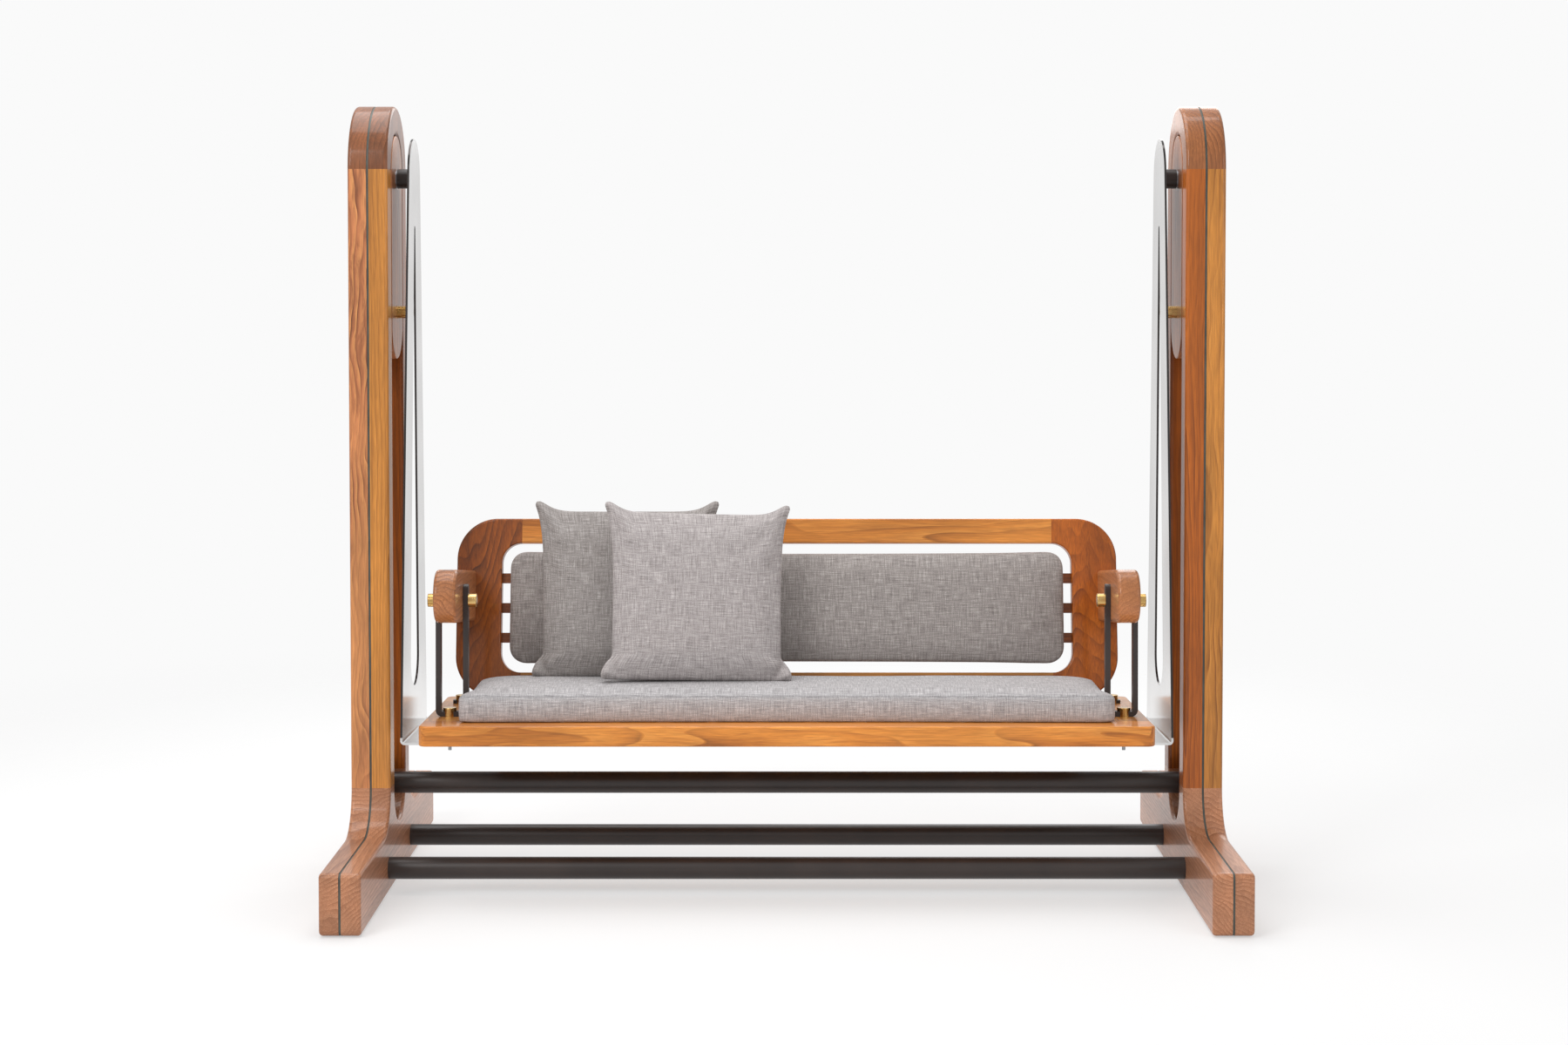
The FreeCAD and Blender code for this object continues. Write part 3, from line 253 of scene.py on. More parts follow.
def makePowderCoat():
    # powder-coated mild steel: near-black satin film with a very fine orange peel
    look = {"colour": "#281F1C", "worn": "#362B27", "roughness": 0.36, "peelGap": 0.0015,
            "peelDepth": 0.0001, "tonesPerMetre": 7.0}
    material, tree, shader = newMaterial("black_powder_coated_steel",
                                         {"Roughness": look["roughness"]})
    place = addNode(tree, "ShaderNodeTexCoord").outputs["Object"]
    peel = addNode(tree, "ShaderNodeTexNoise", links={"Vector": place},
                   values={"Scale": 1 / look["peelGap"], "Detail": 1.0})
    broad = addNode(tree, "ShaderNodeTexNoise", links={"Vector": place},
                    values={"Scale": look["tonesPerMetre"]})
    film = addNode(tree, "ShaderNodeValToRGB", links={"Fac": broad.outputs["Fac"]},
                   stops=[(0.3, look["colour"]), (0.75, look["worn"])])
    relief = addNode(tree, "ShaderNodeBump", links={"Height": peel.outputs["Fac"]},
                     values={"Strength": 0.15, "Distance": look["peelDepth"]})
    tree.links.new(film.outputs["Color"], shader.inputs["Base Color"])
    tree.links.new(relief.outputs["Normal"], shader.inputs["Normal"])
    return material


stainsPerMetre = 6.0           # slow change between a metal's dark and light tone
brushDepth = 0.0001


def makeMetal(name, look):
    # bare metal: brushed or turned lines along one axis change its roughness and normal a little
    material, tree, shader = newMaterial(name, {"Metallic": 1.0})
    place = addNode(tree, "ShaderNodeTexCoord").outputs["Object"]
    lines = addNode(tree, "ShaderNodeMapping", links={"Vector": place},
                    values={"Scale": look["squeeze"]})
    brush = addNode(tree, "ShaderNodeTexNoise", links={"Vector": lines.outputs["Vector"]},
                    values={"Scale": look["linesPerMetre"], "Detail": 3.0})
    broad = addNode(tree, "ShaderNodeTexNoise", links={"Vector": place},
                    values={"Scale": stainsPerMetre, "Detail": 2.0})
    surface = addNode(tree, "ShaderNodeValToRGB", links={"Fac": broad.outputs["Fac"]},
                      stops=[(0.3, look["dark"]), (0.7, look["light"])]).outputs["Color"]
    if "cut" in look:
        # cut edges, whose own normal is less than cutTurn along X, are painted a dark grey as
        # shade, far darker than the rolled faces; the flange below cutAbove has rolled faces that
        # point up and down
        own = addNode(tree, "ShaderNodeSeparateXYZ", links={
            "Vector": addNode(tree, "ShaderNodeTexCoord").outputs["Normal"]})
        spot = addNode(tree, "ShaderNodeSeparateXYZ", links={"Vector": place})
        across = addNode(tree, "ShaderNodeMath", links={0: own.outputs["X"]}, operation="ABSOLUTE")
        level = addNode(tree, "ShaderNodeMath", links={0: spot.outputs["Z"]},
                        values={1: look["cutAbove"]}, operation="GREATER_THAN")
        edge = addNode(tree, "ShaderNodeMath", links={0: across.outputs["Value"]},
                       values={1: look["cutTurn"]}, operation="LESS_THAN")
        edgeShadeMask = addNode(tree, "ShaderNodeMath", operation="MULTIPLY", links={
            0: edge.outputs["Value"], 1: level.outputs["Value"]})
        surface = addNode(tree, "ShaderNodeMix", data_type="RGBA", links={
            "Factor": edgeShadeMask.outputs["Value"], "A": surface},
            values={"B": linearColour(look["cut"])}).outputs["Result"]
    tree.links.new(surface, shader.inputs["Base Color"])
    rough = addNode(tree, "ShaderNodeMapRange", links={"Value": brush.outputs["Fac"]},
                    values={"To Min": look["roughness"][0], "To Max": look["roughness"][1]})
    tree.links.new(rough.outputs["Result"], shader.inputs["Roughness"])
    relief = addNode(tree, "ShaderNodeBump", links={"Height": brush.outputs["Fac"]},
                     values={"Strength": look["bump"], "Distance": brushDepth})
    tree.links.new(relief.outputs["Normal"], shader.inputs["Normal"])
    return material


# stainless steel sheet, polished: it mirrors the pale room, with faint upright brushing;
# brush and turning marks are 0.1 mm, drawn at 1 to 2 mm so that they show
stainlessLook = {"dark": "#D6D4D3", "light": "#E8E6E5", "squeeze": (1.0, 1.0, 0.03),
                 "linesPerMetre": 900.0, "roughness": (0.13, 0.19), "bump": 0.008,
                 # the dark grey for the cut edges is painted shade along them
                 "cut": "#454140", "cutAbove": 0.375, "cutTurn": 0.4}
# solid brass, turned and clear-lacquered: warm yellow with soft highlights
brassLook = {"dark": "#A8803F", "light": "#DDBB7E", "squeeze": (0.2, 1.0, 1.0),
             "linesPerMetre": 700.0, "roughness": (0.14, 0.30), "bump": 0.05}
# sintered bronze, oiled: brown and dull
bronzeLook = {"dark": "#7C5A34", "light": "#94703F", "squeeze": (1.0, 1.0, 1.0),
              "linesPerMetre": 900.0, "roughness": (0.35, 0.5), "bump": 0.1}
# zinc-plated steel of the bolts and studs: pale grey, half dull
zincLook = {"dark": "#86888C", "light": "#A3A5A8", "squeeze": (1.0, 1.0, 1.0),
            "linesPerMetre": 500.0, "roughness": (0.28, 0.42), "bump": 0.05}


def makeCorePaint():
    # painted steel of the core plate: dull green-grey, seen only as a line between the teak layers
    look = {"dark": "#343833", "light": "#4A4D46", "tonesPerMetre": 30.0}
    material, tree, shader = newMaterial("grey_painted_steel", {"Roughness": 0.5})
    place = addNode(tree, "ShaderNodeTexCoord").outputs["Object"]
    broad = addNode(tree, "ShaderNodeTexNoise", links={"Vector": place},
                    values={"Scale": look["tonesPerMetre"], "Detail": 2.0})
    paint = addNode(tree, "ShaderNodeValToRGB", links={"Fac": broad.outputs["Fac"]},
                    stops=[(0.3, look["dark"]), (0.7, look["light"])])
    tree.links.new(paint.outputs["Color"], shader.inputs["Base Color"])
    return material


def makePadPlastic():
    # moulded polyethylene glides: matt black with a fine grain
    look = {"dark": "#121212", "light": "#1E1E1E", "grainsPerMetre": 900.0, "grainDepth": 0.0002}
    material, tree, shader = newMaterial("black_polyethylene", {"Roughness": 0.7})
    place = addNode(tree, "ShaderNodeTexCoord").outputs["Object"]
    grain = addNode(tree, "ShaderNodeTexNoise", links={"Vector": place},
                    values={"Scale": look["grainsPerMetre"]})
    plastic = addNode(tree, "ShaderNodeValToRGB", links={"Fac": grain.outputs["Fac"]},
                      stops=[(0.3, look["dark"]), (0.7, look["light"])])
    relief = addNode(tree, "ShaderNodeBump", links={"Height": grain.outputs["Fac"]},
                     values={"Strength": 0.2, "Distance": look["grainDepth"]})
    tree.links.new(plastic.outputs["Color"], shader.inputs["Base Color"])
    tree.links.new(relief.outputs["Normal"], shader.inputs["Normal"])
    return material


def dressCad(material, names):
    # each named CAD piece gets the material in place of its own
    for name in names:
        node = bpy.data.objects[name]
        node.data.materials.clear()
        node.data.materials.append(material)


for boardName, (grainAxis, tone, wander, shift) in teakBoards.items():
    dressCad(makeTeak(boardName, grainAxis, tone, wander, shift), [boardName])
dressCad(makePowderCoat(), [
    "bearing_housings", "upper_cross_tube", "low_cross_tubes", "left_arm_bracket",
    "right_arm_bracket", "rear_straps", "axle_cap_nuts", "tube_bolts"])
dressCad(makeMetal("polished_stainless_steel", stainlessLook),
         ["left_hanger_plate", "right_hanger_plate"])
dressCad(makeMetal("turned_brass", brassLook),
         ["arm_brass_caps", "brass_knobs", "guide_studs", "rear_spacers"])
dressCad(makeMetal("oiled_bronze", bronzeLook), ["bearing_bushes"])
dressCad(makeMetal("zinc_plated_steel", zincLook), [
    "axles", "thrust_washers", "tube_end_plugs", "flange_bolts", "knob_studs", "knob_nuts",
    "arm_bolts", "arm_screws"])
dressCad(makeCorePaint(), ["left_core_plate", "right_core_plate"])
dressCad(makePadPlastic(), ["foot_pads"])
print("stage: CAD pieces dressed")

# Fabric


def makeFabric(name, look):
    # melange plain weave from the UV map in metres: slubby yarns along each direction are noise
    # drawn out along it; a speckle of mixed fibres lies over both; the stitched seam is painted
    # shade, a dark line where the point attribute rise reaches the seam's height
    material, tree, shader = newMaterial(name, {
        "Roughness": look["roughness"], "Sheen Weight": look["sheen"], "Sheen Roughness": 0.5,
        "Specular IOR Level": look["specular"]})
    flat = addNode(tree, "ShaderNodeUVMap", uv_map="weave").outputs["UV"]
    threads = addNode(tree, "ShaderNodeVectorMath", links={0: flat},
                      values={"Scale": 1 / look["threadGap"]}, operation="SCALE").outputs["Vector"]

    def yarns(squeeze, seed):
        # slubs of one set of yarns: noise squeezed across them, at its own place
        drawn = addNode(tree, "ShaderNodeMapping", links={"Vector": threads},
                        values={"Scale": squeeze, "Location": (seed, seed * 2.3, 0.0)})
        return addNode(tree, "ShaderNodeTexNoise", links={"Vector": drawn.outputs["Vector"]},
                       values={"Scale": 1.0, "Detail": 3.0, "Roughness": 0.65}).outputs["Fac"]

    weft = yarns((1 / look["slubLength"], look["slubWidth"], 1.0), 3.1)
    warp = yarns((look["slubWidth"], 1 / look["slubLength"], 1.0), 7.7)
    both = addNode(tree, "ShaderNodeMath", links={0: weft, 1: warp}, operation="ADD")
    speck = addNode(tree, "ShaderNodeTexNoise", links={"Vector": threads},
                    values={"Scale": 1.1, "Detail": 2.0, "Roughness": 0.8})
    mixed = addNode(tree, "ShaderNodeMath", operation="MULTIPLY_ADD", links={
        0: speck.outputs["Fac"], 2: both.outputs["Value"]}, values={1: look["speckShare"]})
    level = addNode(tree, "ShaderNodeMapRange", links={"Value": mixed.outputs["Value"]},
                    values={"From Min": look["levels"][0], "From Max": look["levels"][1]})
    cloth = addNode(tree, "ShaderNodeValToRGB", links={"Fac": level.outputs["Result"]},
                    stops=look["stops"]).outputs["Color"]
    # painted shade of the stitched seam: the cloth is darkened along a thin line at the seam's
    # height
    rise = addNode(tree, "ShaderNodeAttribute", attribute_name="rise").outputs["Fac"]
    gap = addNode(tree, "ShaderNodeMath", links={0: rise}, values={1: look["seamRise"]},
                  operation="SUBTRACT")
    away = addNode(tree, "ShaderNodeMath", links={0: gap.outputs["Value"]}, operation="ABSOLUTE")
    seam = addNode(tree, "ShaderNodeMapRange", links={"Value": away.outputs["Value"]},
                   values={"From Max": look["seamWidth"], "To Min": look["seamShade"],
                           "To Max": 1.0},
                   interpolation_type="SMOOTHSTEP")
    creaseShaded = addNode(tree, "ShaderNodeMix", links={"A": cloth, "B": seam.outputs["Result"]},
                   values={"Factor": 1.0}, data_type="RGBA", blend_type="MULTIPLY")
    relief = addNode(tree, "ShaderNodeBump", links={"Height": mixed.outputs["Value"]},
                     values={"Strength": 0.5, "Distance": look["yarnDepth"]})
    tree.links.new(creaseShaded.outputs["Result"], shader.inputs["Base Color"])
    tree.links.new(relief.outputs["Normal"], shader.inputs["Normal"])
    return material


# real yarns are about 1 mm, drawn coarser so that they show; a seamRise below zero means no painted
# seam shade
fabricLook = {
    "threadGap": 0.0020, "yarnDepth": 0.0008, "slubLength": 20.0, "slubWidth": 0.8,
    "speckShare": 0.9, "levels": (1.10, 1.80),
    "seamRise": 0.0595, "seamWidth": 0.0022, "seamShade": 0.76,
    "roughness": 0.92, "sheen": 0.15, "specular": 0.15,
    "stops": [(0.0, "#817E7F"), (0.35, "#9F9C9D"), (0.65, "#B7B4B5"), (1.0, "#DCD9DA")],
}
middleFabricLook = {
    **fabricLook, "seamRise": -1.0,
    "stops": [(0.0, "#6E6865"), (0.35, "#8A8481"), (0.65, "#9F9996"), (1.0, "#C2BCBA")],
}
pillowFabricLook = {
    **fabricLook, "seamRise": -1.0,
    "stops": [(0.0, "#7B7674"), (0.35, "#9A9392"), (0.65, "#B0A9A8"), (1.0, "#D3CDCB")],
}
darkFabricLook = {
    **fabricLook, "seamRise": -1.0,
    "stops": [(0.0, "#6F6865"), (0.35, "#8C8582"), (0.65, "#A19A96"), (1.0, "#C4BDBA")],
}
weaves = {
    "seatWeave": makeFabric("grey_melange_weave_seat", fabricLook),
    "pillowWeave": makeFabric("grey_melange_weave", pillowFabricLook),
    "middleWeave": makeFabric("mid_grey_melange_weave", middleFabricLook),
    "darkWeave": makeFabric("dark_grey_melange_weave", darkFabricLook),
}

# Soft pieces

# where the seat and the back stand in the hanging frame, in metres and degrees
hangPlace = {
    "hubHeight": 1.660,
    "lean": -2.0,
    "seatTop": 0.402,
    "backFootY": 0.1184,
    "backFootZ": 0.418,
    "recline": -8.0,
}


def turnedAboutX(points, degrees, centre=(0.0, 0.0, 0.0)):
    # rotation about an axis along X through centre
    angle = math.radians(degrees)
    y = points[:, 1] - centre[1]
    z = points[:, 2] - centre[2]
    return np.column_stack((points[:, 0],
                            centre[1] + y * math.cos(angle) - z * math.sin(angle),
                            centre[2] + y * math.sin(angle) + z * math.cos(angle)))


def turnedAboutZ(points, degrees):
    # rotation about the Z axis
    angle = math.radians(degrees)
    return np.column_stack((points[:, 0] * math.cos(angle) - points[:, 1] * math.sin(angle),
                            points[:, 0] * math.sin(angle) + points[:, 1] * math.cos(angle),
                            points[:, 2]))


def leanedPoints(points):
    # the whole seat turned about the axle by its lean
    return turnedAboutX(points, hangPlace["lean"], (0.0, 0.0, hangPlace["hubHeight"]))


def reclinedPoints(points):
    # tipped back by the recline, then lifted to the foot of the back
    tipped = turnedAboutX(points, hangPlace["recline"])
    return tipped + np.array((0.0, hangPlace["backFootY"], hangPlace["backFootZ"]))


def gridFaces(rows, columns, start=0):
    # quads of a grid whose points are numbered row by row
    corner = np.arange(rows - 1)[:, None] * columns + np.arange(columns - 1)[None, :]
    corner = corner.ravel() + start
    return np.column_stack((corner, corner + 1, corner + columns + 1, corner + columns))


weldDistance = 0.00005


def meshFromSheets(name, sheets):
    # sheets are (points, flat, rows, columns, flip); they are welded where their edges meet, and
    # the height of each point over the piece's own foot is kept as the attribute rise
    points, flats, faces, count = [], [], [], 0
    for sheetPoints, flat, rows, columns, flip in sheets:
        quads = gridFaces(rows, columns, count)
        faces.append(quads[:, ::-1] if flip else quads)
        points.append(sheetPoints)
        flats.append(flat)
        count += rows * columns
    points, flats, faces = np.vstack(points), np.vstack(flats), np.vstack(faces)
    mesh = bpy.data.meshes.new(name)
    mesh.from_pydata(points.tolist(), [], faces.tolist())
    layer = mesh.uv_layers.new(name="weave")
    layer.data.foreach_set("uv", flats[faces.ravel()].astype(np.float32).ravel())
    piece = bpy.data.objects.new(name, mesh)
    bpy.context.scene.collection.objects.link(piece)
    welded = bmesh.new()
    welded.from_mesh(mesh)
    bmesh.ops.remove_doubles(welded, verts=welded.verts, dist=weldDistance)
    welded.to_mesh(mesh)
    welded.free()
    rise = meshPoints(mesh)[:, 2].copy()
    mesh.attributes.new("rise", "FLOAT", "POINT").data.foreach_set("value", rise)
    mesh.polygons.foreach_set("use_smooth", np.ones(len(mesh.polygons), dtype=bool))
    mesh.update()
    return piece


def meshPoints(mesh):
    # all points as rows of x, y, z
    flat = np.empty(len(mesh.vertices) * 3)
    mesh.vertices.foreach_get("co", flat)
    return flat.reshape(-1, 3)


def setMeshPoints(mesh, points):
    # rows of x, y, z back onto the mesh, in the same order
    mesh.vertices.foreach_set("co", points.ravel())
    mesh.update()


clothLook = {"quality": 6, "mass": 0.3, "bending": 0.6, "frames": 20}


def inflate(piece, pressure, cap, stiffness):
    # cloth under inner pressure and no gravity; no point moves further than cap
    before = meshPoints(piece.data)
    cloth = piece.modifiers.new("stuffing", "CLOTH")
    cloth.settings.quality = clothLook["quality"]
    cloth.settings.mass = clothLook["mass"]
    cloth.settings.tension_stiffness = stiffness
    cloth.settings.compression_stiffness = stiffness
    cloth.settings.shear_stiffness = stiffness / 3
    cloth.settings.bending_stiffness = clothLook["bending"]
    cloth.settings.use_pressure = True
    cloth.settings.uniform_pressure_force = pressure
    cloth.settings.effector_weights.gravity = 0.0
    cloth.collision_settings.use_collision = False
    cloth.point_cache.frame_start = 1
    cloth.point_cache.frame_end = clothLook["frames"]
    for step in range(1, clothLook["frames"] + 1):
        bpy.context.scene.frame_set(step)
    shown = piece.evaluated_get(bpy.context.evaluated_depsgraph_get())
    after = meshPoints(shown.to_mesh())
    shown.to_mesh_clear()
    piece.modifiers.remove(cloth)
    bpy.context.scene.frame_set(1)
    move = after - before
    length = np.linalg.norm(move, axis=1, keepdims=True)
    move *= np.minimum(1.0, cap / np.maximum(length, 1e-9))
    setMeshPoints(piece.data, before + move)


def smoothSubdivided(piece):
    # each quad becomes four on a smooth surface
    finish = piece.modifiers.new("finish", "SUBSURF")
    finish.levels = 1
    finish.render_levels = 1


def roundedPlan(a, b, look):
    # square grid to a rounded rectangle: in the corner squares the larger of the two offsets
    # becomes the distance from the corner's centre. The long sides are drawn in by
    # draw * (1 - (u / halfU)^2) and the ends by drawEnds * (1 - (v / halfV)^2), and behind its
    # front corners the plan is narrower by narrow * (1 - exp(-((v / halfV + 1) / narrowReach)^2))
    halfU, halfV, corner = look["halfU"], look["halfV"], look["corner"]
    u = a * halfU
    v = b * halfV
    overU = np.maximum(np.abs(u) - (halfU - corner), 0.0)
    overV = np.maximum(np.abs(v) - (halfV - corner), 0.0)
    far = np.maximum(overU, overV)
    toArc = far / np.maximum(np.hypot(overU, overV), 1e-9)
    shrink = np.where((overU > 0) & (overV > 0), toArc, 1.0)
    u = np.sign(u) * (np.abs(u) - overU + overU * shrink)
    v = np.sign(v) * (np.abs(v) - overV + overV * shrink)
    behind = np.maximum(v / halfV + 1, 0.0) / look["narrowReach"]
    pullU = look["drawEnds"] * (1 - (v / halfV) ** 2) + look["narrow"] * (1 - np.exp(-behind ** 2))
    pullV = look["draw"] * (1 - (u / halfU) ** 2)
    return u - np.sign(u) * pullU * np.abs(a) ** 3, v - np.sign(v) * pullV * np.abs(b) ** 3


def crowdedLine(count, share):
    # -1 to 1, closer together towards the ends: share * sin(pi t / 2) + (1 - share) * t
    line = np.linspace(-1, 1, count)
    return np.sin(line * math.pi / 2) * share + line * (1 - share)


cushionCrowding = 0.12
dentCount = 9


def boxCushion(name, look):
    # top: height = side + crown (1 - |a|^flatU)(1 - |b|^flatV) over the rounded plan, with a few
    # shallow dents of crossed sines; sides: a band round the same outline that bulges by
    # bulge * sin(pi t) from foot to seam; bottom: flat
    cell = look["cell"]
    columns = int(2 * look["halfU"] / cell) + 1
    rows = int(2 * look["halfV"] / cell) + 1
    bands = max(4, int(look["side"] / cell) + 1)
    gridA, gridB = np.meshgrid(crowdedLine(columns, cushionCrowding),
                               crowdedLine(rows, cushionCrowding))
    u, v = roundedPlan(gridA, gridB, look)
    edgeFall = (1 - np.abs(gridA) ** look["flatU"]) * (1 - np.abs(gridB) ** look["flatV"])
    dents = 0.0
    rng = np.random.default_rng(look["seed"])
    for _ in range(dentCount):
        waveU, waveV = rng.uniform(2.0, 7.0) / look["halfU"] * 0.35, rng.uniform(2.0, 5.0)
        alongU = np.sin(u * waveU * 6 + rng.uniform(0, 6))
        dents = dents + alongU * np.sin(v * waveV * 6 + rng.uniform(0, 6))
    top = look["side"] + edgeFall * (look["crown"] + look["dent"] * dents / dentCount)
    flat = np.column_stack((u.ravel(), v.ravel()))
    foot = np.zeros(u.size)
    sheets = [
        (np.column_stack((u.ravel(), v.ravel(), top.ravel())), flat, rows, columns, False),
        (np.column_stack((u.ravel(), v.ravel(), foot)), flat + 3.0, rows, columns, True),
    ]
    share = np.linspace(0, 1, bands)
    bulge = look["bulge"] * np.sin(math.pi * share)
    for edgeU, edgeV, normal in (
        (u[0], v[0], (0, -1)), (u[:, -1], v[:, -1], (1, 0)),
        (u[-1][::-1], v[-1][::-1], (0, 1)), (u[:, 0][::-1], v[:, 0][::-1], (-1, 0)),
    ):
        along = np.concatenate(([0.0], np.cumsum(np.hypot(np.diff(edgeU), np.diff(edgeV)))))
        fade = np.minimum(1.0, np.minimum(along, along[-1] - along) / (2 * look["corner"]))
        x = edgeU[None, :] + normal[0] * bulge[:, None] * fade[None, :]
        y = edgeV[None, :] + normal[1] * bulge[:, None] * fade[None, :]
        z = np.repeat((share * look["side"])[:, None], len(edgeU), axis=1)
        # each side's weave lies at its own place in the map
        sideStart = 6.0 + 2 * normal[0] + 4 * normal[1]
        flatSide = np.column_stack((np.tile(along, bands) + sideStart, z.ravel()))
        side = np.column_stack((x.ravel(), y.ravel(), z.ravel()))
        sheets.append((side, flatSide, bands, len(edgeU), False))
    return meshFromSheets(name, sheets)


def lowerEnds(piece, look):
    # the stuffing thins out towards the two ends: height falls by endDrop along a smooth step
    points = meshPoints(piece.data)
    beyond = np.abs(points[:, 0]) / look["halfU"] - look["endFrom"]
    share = np.clip(beyond / (1 - look["endFrom"]), 0, 1)
    points[:, 2] *= 1 - look["endDrop"] * share ** 2 * (3 - 2 * share)
    setMeshPoints(piece.data, points)


seatCushionLook = {
    "halfU": 0.7635, "halfV": 0.1655, "corner": 0.038, "draw": 0.0135, "drawEnds": 0.0020,
    "narrow": 0.0245, "narrowReach": 0.30,
    "side": 0.0595, "crown": 0.0145,
    "flatU": 20.0, "flatV": 4.6, "bulge": 0.003, "cell": 0.012, "dent": 0.002, "seed": 4,
    "endFrom": 0.93, "endDrop": 0.03, "cap": 0.004, "pressure": 1.5, "stiffness": 30.0,
    "middleY": -0.05055, "lift": 0.0006,
}


def makeSeatCushion():
    # box cushion with its foot on the seat
    look = seatCushionLook
    piece = boxCushion("seatCushion", look)
    inflate(piece, look["pressure"], look["cap"], look["stiffness"])
    lowerEnds(piece, look)
    points = meshPoints(piece.data)
    points[:, 2] = np.maximum(points[:, 2], 0.0)
    points = points + np.array((0.0, look["middleY"], hangPlace["seatTop"] + look["lift"]))
    setMeshPoints(piece.data, leanedPoints(points))
    smoothSubdivided(piece)
    piece.data.materials.append(weaves["seatWeave"])
    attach(piece, "swing")
    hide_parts("seat_cushion")


backCushionLook = {
    "halfU": 0.6725, "halfV": 0.1345, "corner": 0.040, "draw": 0.003, "drawEnds": 0.003,
    "narrow": 0.0, "narrowReach": 0.30,
    "side": 0.042, "crown": 0.014,
    "flatU": 16.0, "flatV": 4.0, "bulge": 0.003, "cell": 0.012, "dent": 0.001, "seed": 8,
    "cap": 0.004, "pressure": 1.2, "stiffness": 30.0,
    "middleZ": 0.216, "rearY": 0.0192,
}


def makeBackCushion():
    # box cushion stood up by a quarter turn, with its foot against the slats of the back
    look = backCushionLook
    piece = boxCushion("backCushion", look)
    inflate(piece, look["pressure"], look["cap"], look["stiffness"])
    points = meshPoints(piece.data)
    points[:, 2] = np.maximum(points[:, 2], 0.0)
    stood = turnedAboutX(points, 90) + np.array((0.0, look["rearY"], look["middleZ"]))
    setMeshPoints(piece.data, leanedPoints(reclinedPoints(stood)))
    smoothSubdivided(piece)
    piece.data.materials.append(weaves["darkWeave"])
    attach(piece, "swing")
    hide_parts("back_cushion")


pillowLook = {
    "halfWide": 0.227, "halfHigh": 0.2125, "halfThick": 0.042, "cell": 0.0080, "crowding": 0.35,
    "fold": 0.0030, "foldAway": 0.34, "foldReach": 0.20, "sag": 0.20,
    "waist": 0.1995,                                       # half width between ears and boots
    "earOut": 0.0235, "earReach": 0.055, "earRound": 0.014, "earFlat": 0.011,
    "topDraw": 0.026, "topReach": 0.033,
    "bootHigh": 0.055, "bootPuff": 0.022, "bootSlope": 0.025, "bootRim": 0.016,
    "creaseDepth": 0.95, "creaseWide": 0.009, "creaseReach": 0.055, "notch": 0.95,
    "cap": 0.012, "pressure": 4.0, "stiffness": 14.0,
}

pillowPlaces = {
    "rearPillow": {"node": "rear_pillow", "x": -0.383, "y": -0.0877, "z": 0.2572, "turn": 0.0,
                   "tilt": 0.0, "seed": 3, "weave": "middleWeave"},
    "frontPillow": {"node": "front_pillow", "x": -0.211, "y": -0.1794, "z": 0.2468, "turn": 7.0,
                    "tilt": -6.0, "seed": 11, "weave": "pillowWeave"},
}


def pillowShape(flat, stuffed, look):
    # flat is the two square sheets before stuffing, and of stuffed, after it, the depth is kept.
    # Corners: the larger offset becomes the distance from the corner's centre.
    # Half width = waist + ear * exp(-t / reach) above, + boot * (1 - (h / high)^2.4) below.
    # The top sinks by draw * (1 - exp(-(s / reach)^1.5)) away from the ears.
    # t and s start earFlat from the corner, so that the ears stay blunt.
    # A crease exp(-(line / wide)^2) runs in and down from the notch above each lower corner,
    # and the corner below it is puffed.
    wide, high = look["halfWide"], look["halfHigh"]
    a = flat[:, 0] / wide
    b = flat[:, 2] / high
    side = (1 - np.abs(a)) * wide
    overX = np.maximum(look["earRound"] - side, 0)
    overZ = np.maximum(look["earRound"] - (1 - np.abs(b)) * high, 0)
    toArc = np.maximum(overX, overZ) / np.maximum(np.hypot(overX, overZ), 1e-9)
    pull = 1 - np.where(overX * overZ > 0, toArc, 1.0)
    x = np.abs(flat[:, 0]) - overX * pull
    z = (np.abs(flat[:, 2]) - overZ * pull) * np.sign(flat[:, 2])
    foot = z + high
    boot = (wide - look["waist"]) * (1 - np.clip(foot / look["bootHigh"], 0, 1) ** 2.4)
    ear = look["earOut"] * np.exp(-np.maximum(high - z - look["earFlat"], 0) / look["earReach"])
    x = x * (look["waist"] + boot + ear) / wide * np.sign(flat[:, 0])
    inward = np.maximum(side - look["earFlat"], 0)
    sink = look["topDraw"] * (1 - np.exp(-(inward / look["topReach"]) ** 1.5))
    z = z - sink * np.clip((b + 0.2) / 1.2, 0, 1)
    line = foot - look["notch"] * look["bootHigh"] + side
    crease = np.exp(-(line / look["creaseWide"]) ** 2) * np.exp(-(side / look["creaseReach"]) ** 2)
    edge = np.minimum(side, (1 - np.abs(b)) * high)
    rim = np.sqrt(np.clip(edge / look["bootRim"], 0, 1))
    puff = look["bootPuff"] * np.clip(-line / look["bootSlope"], 0, 1) * rim
    depth = stuffed[:, 1] * (1 - look["creaseDepth"] * crease) + np.sign(stuffed[:, 1]) * puff
    return np.column_stack((x, depth, z))


